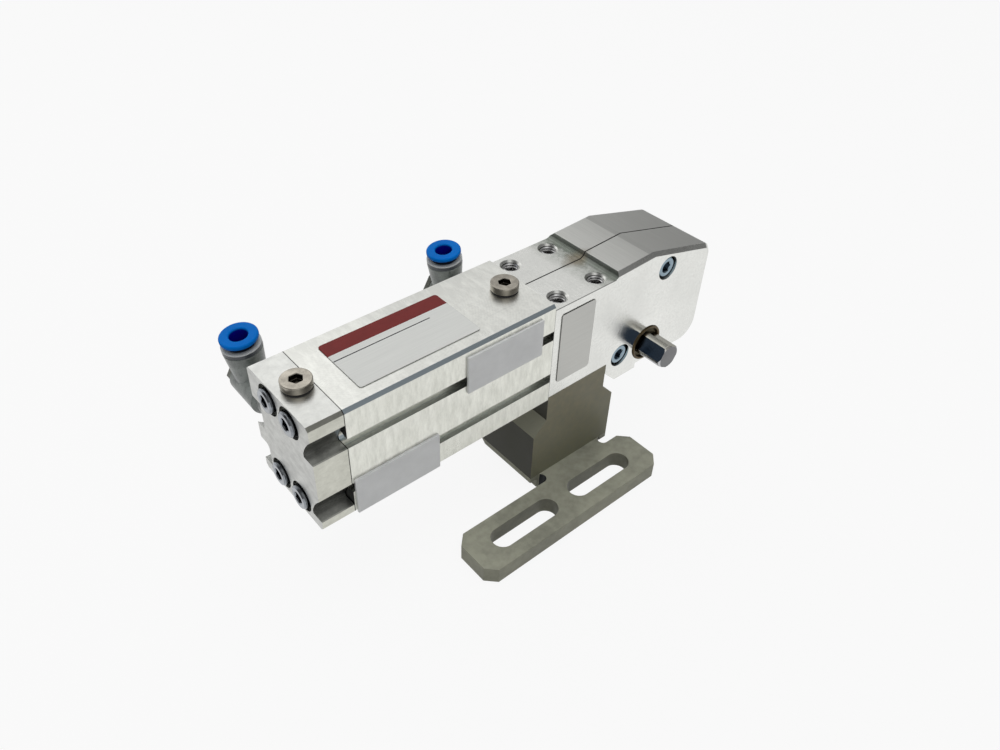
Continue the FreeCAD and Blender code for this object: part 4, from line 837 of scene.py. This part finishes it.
def screw_tint_and_shade(finish, tint):
    """Painted shade in the hexagon sockets of the screws of cap and head, and a bluer plating on those of
    the head.
    """
    bluer = finish.above(finish.spot()[0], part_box("cylinder_barrel")[1].x)
    tint = finish.blend(finish.times(bluer, 0.6), tint, stains_and_painted_light().screw_blue)
    for node, axis in (("tie_screws", 0), ("head_screws", 1)):
        boxes = loose_boxes(node)
        face = boxes[0][0][axis]
        along = finish.spot()[axis]
        sunk = finish.both(finish.above(along, face + 0.0004), finish.below(along, face + 0.004))
        pits = finish.pits(middles(boxes), axis, radius=0.0024)
        # Painted shade in the sockets.
        tint = finish.blend(finish.both(sunk, pits), tint, stains_and_painted_light().screw_socket_shade)
    return tint


def press_axis(side):
    """Way out of a tube socket, and a point on its axis."""
    joints = RECORD["behaviour"]["joints"]
    joint = next(j for j in joints if j["name"] == f"release_ring_{side}_press")
    low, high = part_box(f"release_ring_{side}")
    return Vector(joint["axis"]), (low + high) / 2


def socket_heights(finish, side):
    """Height along a tube socket's axis and distance from it, with zero at the ring's middle."""
    axis, centre = press_axis(side)
    local = finish.place(centre=centre)
    off = finish.vector("CROSS_PRODUCT", local, axis)[0]
    return finish.vector("DOT_PRODUCT", local, axis)["Value"], finish.vector("LENGTH", off)["Value"]


def top_of(node, side):
    """Height of a node's upper rim along a tube socket's axis."""
    axis, centre = press_axis(side)
    return max(axis.dot(vert.co - centre) for vert in NODES[node].data.vertices)


def ring_shade(side):
    """Painted shade on the sleeve under the rim of one release ring, and a deep blue painted shade in its
    bore.
    """

    def stain_and_painted_light(finish, tint):
        along, off = socket_heights(finish, side)
        rim = top_of(f"release_ring_{side}", side)
        # Painted shade on the sleeve under the rim.
        tint = finish.blend(finish.fade(along, rim - 0.0018, rim - 0.0010), tint, stains_and_painted_light().sleeve_shade)
        # Deep blue painted shade in the bore.
        bore_shade = finish.both(finish.below(off, 0.0034), finish.fade(along, rim - 0.0009, rim - 0.0003))
        return finish.blend(bore_shade, tint, stains_and_painted_light().bore_shade)

    return stain_and_painted_light


def collar_highlight(side):
    """Painted highlight on the upper edge of one socket collar."""

    def stain_and_painted_light(finish, tint):
        along = socket_heights(finish, side)[0]
        # Painted highlight on the collar's upper edge.
        lip_highlight = finish.above(along, top_of(f"socket_collar_{side}", side) - 0.00035)
        return finish.blend(lip_highlight, tint, stains_and_painted_light().lip_highlight)

    return stain_and_painted_light


def elbow_stain(finish, tint):
    """Uneven dark patches on the elbows."""
    patch = finish.noise(finish.place(scale=(1, 1, 0.6)), 420.0, detail=5.0, rough=0.65)
    return finish.blend(finish.spread(patch, 0.0, 0.6, 0.5, 0.7), tint, stains_and_painted_light().elbow_patch)


# Finishes of the clamp

def make_metals(look):
    """Milled and plated finishes."""
    cap_low, cap_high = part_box("end_cap")
    cap = (cap_low + cap_high) / 2
    head_low, head_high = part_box("head_half_near")
    head = (head_low + head_high) / 2
    milled_metal(
        "barrel_aluminium_finish", look.aluminium, rough=0.30, arcs=330,
        centre=cap + Vector((0.03, 0.02, 0.0)), axis="Z", streak=(8, 900, 900), cloudy=0.9,
        stain_and_painted_light=barrel_stain_and_shade,
    )
    milled_metal(
        "cap_aluminium_finish", look.cap_aluminium, rough=0.32, arcs=330,
        centre=cap + Vector((0.02, 0.03, 0.01)), axis="Z", streak=(900, 20, 20), stain_and_painted_light=cap_stain_and_painted_light,
    )
    milled_metal(
        "head_aluminium_finish", look.head_aluminium, rough=0.26, arcs=330,
        centre=head + Vector((0.01, 0.0, -0.03)), axis="Y", streak=(12, 700, 700), stain_and_painted_light=head_stain_and_shade,
    )
    milled_metal(
        "piston_aluminium_finish", look.aluminium, rough=0.3, arcs=900, centre=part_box("piston")[0],
        axis="X", streak=(900, 20, 20),
    )
    milled_metal(
        "bracket_grey_finish", look.bracket, rough=0.42, arcs=500, centre=(0.02, 0.2, 0.02), axis="Y",
        streak=(10, 400, 400), arc_strength=0.1, metallic=0.1, stain_and_painted_light=bracket_stain_and_painted_light,
    )
    milled_metal(
        "shaft_steel_finish", look.shaft, rough=0.2, arcs=900, centre=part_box("output_shaft")[0], axis="Y",
        streak=(600, 20, 600), arc_strength=0.15, stain_and_painted_light=shaft_painted_light,
    )
    milled_metal(
        "hard_steel_finish", tone(look.shaft, 0.8), rough=0.28, arcs=900, centre=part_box("crank_lever")[0],
        axis="Y", streak=(400, 20, 400),
    )
    plated_metal("zinc_steel_finish", look.zinc, rough=0.1, uneven=0.8, stain_and_painted_light=screw_tint_and_shade)
    plated_metal("washer_steel_finish", tone(look.zinc, 1.15), rough=0.24, uneven=0.5)
    plated_metal("rod_chrome_finish", look.chrome, rough=0.1)
    plated_metal("bronze_finish", look.bronze, rough=0.36, grain=900.0)
    plated_metal("plug_nickel_finish", look.nickel, rough=0.2, stain_and_painted_light=plug_shade)
    plated_metal("hollow_bolt_finish", look.bolt, rough=0.3)
    plated_metal("thread_finish", tone(look.head_aluminium, 1.2), rough=0.3)


def make_plastics(look):
    """Moulded finishes, with those of each tube socket."""
    collar = {"rough": 0.3, "speckle": 0.4}
    ring = {"rough": 0.4, "speckle": 0.06, "specular": 0.05}
    moulded("collar_dark_finish", look.collar, **collar)
    moulded("release_blue_finish", look.release, **ring)
    for side in ("rear", "front"):
        moulded(f"collar_{side}_finish", look.collar, **collar, stain_and_painted_light=collar_highlight(side))
        moulded(f"release_{side}_finish", look.release, **ring, stain_and_painted_light=ring_shade(side))
    moulded("fitting_grey_finish", look.fitting, rough=0.3, speckle=0.35, stain_and_painted_light=elbow_stain)
    moulded("magnet_iron_finish", look.magnet, rough=0.5)
    moulded("seal_rubber_finish", look.rubber, rough=0.55)
    moulded("tag_grey_finish", look.tag, rough=0.36, speckle=0.05)


def make_labels(look):
    """Foils of the two labels."""
    sizes = bpy.context.scene.clamp_sizes
    low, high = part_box("top_label")
    band_from = high.y - sizes.band_width
    rule_to = band_from - sizes.rule_gap
    ruled = {0: (low.x + 0.0002, high.x - sizes.rule_end), 1: (rule_to - sizes.rule_width, rule_to)}
    label_foil(
        "label_silver_finish", "top_label", look.label, metallic=0.0, axis=1, rim_tone=0.75,
        ruled=ruled, band_from=band_from,
    )
    label_foil("side_label_finish", "side_label", look.side_label, metallic=0.9, axis=2, rim_tone=0.35)


def finish_of(name):
    """A finish by its name, which is often that of a material slot. All are made on first use."""
    full_name = name + "_finish"
    if full_name not in bpy.data.materials:
        make_metals(looks())
        make_plastics(looks())
        make_labels(looks())
    return bpy.data.materials[full_name]


# Geometry node trees

class Tree(Nodes):
    """A geometry node tree under construction, with named inputs."""

    def __init__(self, name, **inputs):
        super().__init__(bpy.data.node_groups.new(name, "GeometryNodeTree"))
        face = self.tree.interface
        face.new_socket("Geometry", in_out="INPUT", socket_type="NodeSocketGeometry")
        for label, kind in inputs.items():
            face.new_socket(label, in_out="INPUT", socket_type="NodeSocket" + kind)
        face.new_socket("Geometry", in_out="OUTPUT", socket_type="NodeSocketGeometry")
        self.given = self.tree.nodes.new("NodeGroupInput").outputs
        self.result = self.tree.nodes.new("NodeGroupOutput")

    def point(self, x=0.0, y=0.0, z=0.0):
        return self.node("ShaderNodeCombineXYZ", X=x, Y=y, Z=z).outputs[0]

    def lift(self, geometry, height):
        offset = self.point(z=height)
        return self.node("GeometryNodeTransform", Geometry=geometry, Translation=offset).outputs[0]

    def cylinder(self, sides, radius, depth, segments=1):
        return self.node(
            "GeometryNodeMeshCylinder", {"fill_type": "NGON"}, Vertices=sides, Side_Segments=segments,
            Radius=radius, Depth=depth,
        ).outputs["Mesh"]

    def gather(self, socket, *parts):
        for part in parts:
            self.tree.links.new(part, socket)

    def end(self, geometry):
        """Place the made shape on every point, realise it and set its material."""
        placed = self.node(
            "GeometryNodeInstanceOnPoints", Points=self.given["Geometry"], Instance=geometry,
            Rotation=self.given["Turn"],
        ).outputs[0]
        real = self.node("GeometryNodeRealizeInstances", Geometry=placed).outputs[0]
        coated = self.node("GeometryNodeSetMaterial", Geometry=real, Material=self.given["Material"])
        self.feed(self.result.inputs[0], coated.outputs[0])
        return self.tree


def grow(name, tree, points, **values):
    """Run a tree on points and keep the outcome as a plain mesh object at the origin."""
    seed = bpy.data.meshes.new(name)
    seed.from_pydata([tuple(p) for p in points], [], [])
    thing = add_object(name, seed)
    modifier = thing.modifiers.new(name, "NODES")
    modifier.node_group = tree
    for item in tree.interface.items_tree:
        if item.in_out == "INPUT" and item.name in values:
            modifier[item.identifier] = values[item.name]
    plain = bpy.data.meshes.new_from_object(thing.evaluated_get(bpy.context.evaluated_depsgraph_get()))
    thing.modifiers.remove(modifier)
    thing.data = plain
    if len(plain.polygons) == 0:
        raise RuntimeError(f"{name} came out empty")
    shade(plain, 30)
    return thing


def knurled_head(made, radius, height):
    """Cylinder about zero with bevelled rims and a grip of small valleys around its middle."""
    bevel = made.given["Bevel"]
    head = made.cylinder(96, radius, height, 3)
    spot = made.node("GeometryNodeInputPosition").outputs[0]
    x, y, z = made.node("ShaderNodeSeparateXYZ", Vector=spot).outputs
    index = made.node("GeometryNodeInputIndex").outputs[0]
    level = made.math("DIVIDE", z, height)
    middle = made.below(made.size(level), 0.4)
    valley = made.times(middle, made.below(made.math("MODULO", index, 2.0), 0.5))
    rim = made.times(made.above(made.size(level), 0.4), bevel)
    inset = made.plus(made.times(valley, made.given["Knurl"]), rim)
    shrink = made.minus(1.0, made.math("DIVIDE", inset, radius))
    toward = made.times(made.math("SIGN", level), made.minus(made.times(height, 0.5), bevel))
    new_z = made.node("GeometryNodeSwitch", {"input_type": "FLOAT"}, Switch=middle, i1=z, i2=toward)
    moved = made.point(made.times(x, shrink), made.times(y, shrink), new_z.outputs[0])
    return made.node("GeometryNodeSetPosition", Geometry=head, Position=moved).outputs[0]


def cap_screw_tree():
    """Cap screw along +Z: shank from zero down, knurled head from zero up, hexagon socket."""
    made = Tree(
        "cap_screw", Head_Radius="Float", Head_Height="Float", Bevel="Float", Knurl="Float", Flats="Float",
        Socket="Float", Shank_Radius="Float", Shank_Length="Float", Turn="Rotation", Material="Material",
    )
    height = made.given["Head_Height"]
    head = made.lift(knurled_head(made, made.given["Head_Radius"], height), made.times(height, 0.5))
    across = made.math("DIVIDE", made.given["Flats"], math.sqrt(3))
    socket = made.lift(made.cylinder(6, across, made.times(made.given["Socket"], 2.0)), height)
    lead = made.node(
        "GeometryNodeMeshCone", {"fill_type": "NGON"}, Vertices=32, Radius_Top=made.times(across, 1.12),
        Radius_Bottom=made.times(across, 0.8), Depth=made.times(across, 0.3),
    ).outputs["Mesh"]
    lead = made.lift(lead, made.minus(height, made.times(across, 0.24)))
    cut = made.node("GeometryNodeMeshBoolean", {"operation": "DIFFERENCE", "solver": "EXACT"})
    made.gather(cut.inputs[0], head)
    made.gather(cut.inputs[1], socket, lead)
    shank_length = made.given["Shank_Length"]
    shank = made.cylinder(32, made.given["Shank_Radius"], shank_length)
    shank = made.lift(shank, made.times(shank_length, -0.5))
    screw = made.node("GeometryNodeJoinGeometry")
    made.gather(screw.inputs[0], cut.outputs[0], shank)
    return made.end(screw.outputs[0])


def thread_tree():
    """Ridge of a tapped hole that winds down from zero along -Z."""
    made = Tree(
        "tapped_thread", Radius="Float", Pitch="Float", Ridge="Float", Depth="Float", Turn="Rotation",
        Material="Material",
    )
    radius, depth = made.given["Radius"], made.given["Depth"]
    path = made.node(
        "GeometryNodeCurveSpiral", Resolution=40, Rotations=made.math("DIVIDE", depth, made.given["Pitch"]),
        Start_Radius=radius, End_Radius=radius, Height=depth,
    ).outputs[0]
    path = made.lift(path, made.times(depth, -1.0))
    ridge = made.node("GeometryNodeCurvePrimitiveCircle", Resolution=4, Radius=made.given["Ridge"])
    wound = made.node("GeometryNodeCurveToMesh", Curve=path, Profile_Curve=ridge.outputs[0], Fill_Caps=True)
    return made.end(wound.outputs[0])


# Stage

def paper_floor(stage):
    """Pale floor just under the foot, which keeps a faint shadow."""
    shape = bmesh.new()
    bmesh.ops.create_grid(shape, x_segments=1, y_segments=1, size=6.0)
    floor = add_object("floor", mesh_of("floor", shape))
    floor.location.z = CAD_BOX[0][2] - 0.00005
    finish = Finish("floor_paper", specular=0.1)
    paper = finish.noise(finish.place(), 40.0, detail=2.0)
    finish.done(finish.blend(paper, (0.58, 0.58, 0.58), (0.62, 0.62, 0.62)), 0.9)
    path = finish.node("ShaderNodeLightPath").outputs
    seen = finish.math("MAXIMUM", path["Is Camera Ray"], path["Is Glossy Ray"])
    seen = finish.math("MAXIMUM", seen, path["Is Transmission Ray"])
    white = finish.node("ShaderNodeEmission", Color=(1, 1, 1, 1), Strength=1.0).outputs[0]
    mix = finish.node(
        "ShaderNodeMixShader", i0=finish.times(seen, stage.glow), i1=finish.shader.outputs[0], i2=white
    )
    finish.feed(finish.tree.nodes["Material Output"].inputs[0], mix.outputs[0])
    floor.data.materials.append(finish.material)


def studio_room(stage):
    """White room with a few dark sides for the metal to mirror."""
    world = bpy.data.worlds.new("studio")
    world.use_nodes = True
    room = Nodes(world.node_tree)
    around = room.node("ShaderNodeTexCoord").outputs["Generated"]
    light = stage.sky
    for way, start, full, left in DARK_SIDES:
        toward = room.vector("DOT_PRODUCT", around, Vector(way).normalized())["Value"]
        fade = room.node(
            "ShaderNodeMapRange", {"interpolation_type": "SMOOTHSTEP"},
            i0=toward, i1=start, i2=full, i3=1.0, i4=left,
        )
        light = room.times(fade.outputs[0], light)
    studio = room.tree.nodes["Background"]
    room.feed(studio.inputs["Color"], (1, 1, 1, 1))
    room.feed(studio.inputs["Strength"], light)
    white = room.node("ShaderNodeBackground", Color=(1, 1, 1, 1), Strength=stage.backdrop).outputs[0]
    seen = room.node("ShaderNodeLightPath").outputs["Is Camera Ray"]
    mix = room.node("ShaderNodeMixShader", i0=seen, i1=studio.outputs[0], i2=white)
    room.feed(room.tree.nodes["World Output"].inputs[0], mix.outputs[0])
    return world


def soft_lamp(name, power, place, aim, mirrored):
    """Large lamp that hangs at a place and points at another, and may show in the metal."""
    lamp = bpy.data.lights.new(name, "AREA")
    lamp.energy = power
    lamp.shape = "RECTANGLE"
    lamp.size = 1.2
    lamp.size_y = 1.0
    thing = add_object(name, lamp)
    thing.location = place
    thing.rotation_euler = (aim - place).to_track_quat("-Z", "Y").to_euler()
    thing.visible_glossy = mirrored


def photo_camera(stage):
    """Camera at the photograph's angle."""
    camera = add_object("camera", bpy.data.cameras.new("camera"))
    camera.location = stage.camera_place
    camera.rotation_euler = stage.camera_turn
    camera.data.lens = stage.lens
    camera.data.sensor_width = 36.0
    camera.data.sensor_fit = "HORIZONTAL"
    camera.data.shift_x, camera.data.shift_y = stage.shift
    camera.data.clip_start = 0.01
    return camera


# Operators

class CLAMP_OT_works(bpy.types.Operator):
    """Working parts inside the clamp, in their own finishes"""

    bl_idname = "clamp.works"
    bl_label = "Working parts"

    def execute(self, context):
        for node, thing in NODES.items():
            thing.data.materials.clear()
            thing.data.materials.append(finish_of(SLOT_OF[node]))
        for node in ("output_shaft", "shaft_bush_near", "shaft_bush_far"):
            rounded_copy(node, context.scene.clamp_sizes.edge_round)
        return {"FINISHED"}


class CLAMP_OT_castings(bpy.types.Operator):
    """Machined bodies: barrel, rear cap, head halves, bracket block and foot"""

    bl_idname = "clamp.castings"
    bl_label = "Machined bodies"

    def execute(self, context):
        for node in (
            "cylinder_barrel", "end_cap", "head_half_near", "head_half_far", "bracket_block", "slotted_foot",
        ):
            rounded_copy(node, context.scene.clamp_sizes.edge_round)
        return {"FINISHED"}


class CLAMP_OT_screws(bpy.types.Operator):
    """Cap screws of the rear cap, head and bracket"""

    bl_idname = "clamp.screws"
    bl_label = "Cap screws"

    def execute(self, context):
        sizes = context.scene.clamp_sizes
        tree = cap_screw_tree()
        for node, (axis, head) in SCREWS.items():
            boxes = loose_boxes(node)
            seats = middles(boxes)
            for seat, (low, high) in zip(seats, boxes):
                seat[axis] = low[axis] + head
            low, high = boxes[0]
            across = (axis + 1) % 3
            ahead = Vector([-1.0 if i == axis else 0.0 for i in range(3)])
            turn = Vector((0, 0, 1)).rotation_difference(ahead).to_euler()
            thing = grow(
                node + "_piece", tree, seats, Head_Radius=(high[across] - low[across]) / 2, Head_Height=head,
                Bevel=sizes.head_bevel, Knurl=sizes.knurl_depth, Flats=sizes.socket_flats,
                Socket=sizes.socket_depth, Shank_Radius=sizes.shank_radius,
                Shank_Length=high[axis] - low[axis] - head, Turn=list(turn),
                Material=finish_of(SLOT_OF[node]),
            )
            dress(thing, node)
        return {"FINISHED"}


class CLAMP_OT_washers(bpy.types.Operator):
    """Washers under the tie screws"""

    bl_idname = "clamp.washers"
    bl_label = "Tie washers"

    def execute(self, context):
        hole = context.scene.clamp_sizes.washer_hole
        bevel = context.scene.clamp_sizes.washer_bevel
        shape = bmesh.new()
        for low, high in loose_boxes("tie_washers"):
            outer = (high.y - low.y) / 2
            thick = high.x - low.x
            profile = [
                (hole, 0.0), (outer - bevel, 0.0), (outer, bevel),
                (outer, thick - bevel), (outer - bevel, thick), (hole, thick),
            ]
            turned_ring(shape, profile, Vector((low.x, (low.y + high.y) / 2, (low.z + high.z) / 2)))
        bmesh.ops.recalc_face_normals(shape, faces=shape.faces)
        thing = add_object("tie_washers_piece", mesh_of("tie_washers_piece", shape))
        shade(thing.data, 32)
        dress(thing, "tie_washers")
        return {"FINISHED"}


class CLAMP_OT_threads(bpy.types.Operator):
    """Threads in the tapped holes of the upper pad"""

    bl_idname = "clamp.threads"
    bl_label = "Pad threads"

    def execute(self, context):
        sizes = context.scene.clamp_sizes
        finish = finish_of("thread")
        tree = thread_tree()
        spots, radius = pad_threads()[1:]
        for name, pair in (("pad_threads_near", spots[:2]), ("pad_threads_far", spots[2:])):
            thing = grow(
                name, tree, [spot + Vector((0, 0, THREAD_LIFT)) for spot in pair], Radius=radius,
                Pitch=sizes.thread_pitch, Ridge=sizes.thread_height, Depth=sizes.thread_depth,
                Turn=[0.0, 0.0, 0.0], Material=finish,
            )
            thing.data.materials.clear()
            thing.data.materials.append(finish)
            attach(thing, BODY_OF["head_half_near"])
        return {"FINISHED"}


class CLAMP_OT_plugs(bpy.types.Operator):
    """Socket plugs on the top ports, and the hollow bolts of the elbows"""

    bl_idname = "clamp.plugs"
    bl_label = "Port plugs"

    def execute(self, context):
        width = context.scene.clamp_sizes.plug_round
        rounded_copy("port_plugs", width, segments=3)
        rounded_copy("hollow_bolts", width, finish="hollow_bolt")
        return {"FINISHED"}


class CLAMP_OT_fittings(bpy.types.Operator):
    """Swivel elbows, their release rings and the collars under them"""

    bl_idname = "clamp.fittings"
    bl_label = "Elbow fittings"

    def execute(self, context):
        sizes = context.scene.clamp_sizes
        for side in ("rear", "front"):
            rounded_copy(f"elbow_{side}", sizes.moulded_round, segments=3)
            rounded_copy(f"release_ring_{side}", sizes.ring_round, segments=3, finish=f"release_{side}")
            rounded_copy(f"socket_collar_{side}", sizes.ring_round, finish=f"collar_{side}")
        return {"FINISHED"}


class CLAMP_OT_labels(bpy.types.Operator):
    """Bare labels and tags"""

    bl_idname = "clamp.labels"
    bl_label = "Labels"

    def execute(self, context):
        width = context.scene.clamp_sizes.label_round
        for node in ("top_label", "tag_upper", "tag_lower"):
            rounded_copy(node, width)
        rounded_copy("side_label", width, finish="side_label")
        return {"FINISHED"}


class CLAMP_OT_stage(bpy.types.Operator):
    """Floor, light and camera"""

    bl_idname = "clamp.stage"
    bl_label = "Stage"

    def execute(self, context):
        stage = context.scene.clamp_stage
        paper_floor(stage)
        context.scene.world = studio_room(stage)
        soft_lamp("key_lamp", stage.key, stage.key_place, stage.aim, mirrored=True)
        soft_lamp("top_lamp", stage.top, stage.top_place, stage.aim, mirrored=False)
        context.scene.camera = photo_camera(stage)
        context.scene.view_settings.view_transform = "Standard"
        return {"FINISHED"}


STEPS = (
    CLAMP_OT_works, CLAMP_OT_castings, CLAMP_OT_screws, CLAMP_OT_washers, CLAMP_OT_threads, CLAMP_OT_plugs,
    CLAMP_OT_fittings, CLAMP_OT_labels, CLAMP_OT_stage,
)
GROUPS = {
    "clamp_sizes": ClampSizes,
    "clamp_finishes": ClampFinishes,
    "clamp_stains": ClampStainsAndPaintedLight,
    "clamp_stage": ClampStage,
}


class CLAMP_PT_panel(bpy.types.Panel):
    """Steps and settings of the clamp's looks"""

    bl_idname = "CLAMP_PT_panel"
    bl_label = "Power clamp"
    bl_space_type = "VIEW_3D"
    bl_region_type = "UI"
    bl_category = "Clamp"

    def draw(self, context):
        for step in STEPS:
            self.layout.operator(step.bl_idname)
        for name, group in GROUPS.items():
            for setting in group.__annotations__:
                self.layout.prop(getattr(context.scene, name), setting)


def register():
    for group in (*GROUPS.values(), *STEPS, CLAMP_PT_panel):
        bpy.utils.register_class(group)
    for name, group in GROUPS.items():
        setattr(bpy.types.Scene, name, bpy.props.PointerProperty(type=group))


def unregister():
    for name in GROUPS:
        delattr(bpy.types.Scene, name)
    for group in (CLAMP_PT_panel, *reversed(STEPS), *GROUPS.values()):
        bpy.utils.unregister_class(group)


def main():
    register()
    for step in STEPS:
        family, name = step.bl_idname.split(".")
        getattr(getattr(bpy.ops, family), name)()


if __name__ == "__main__":
    main()
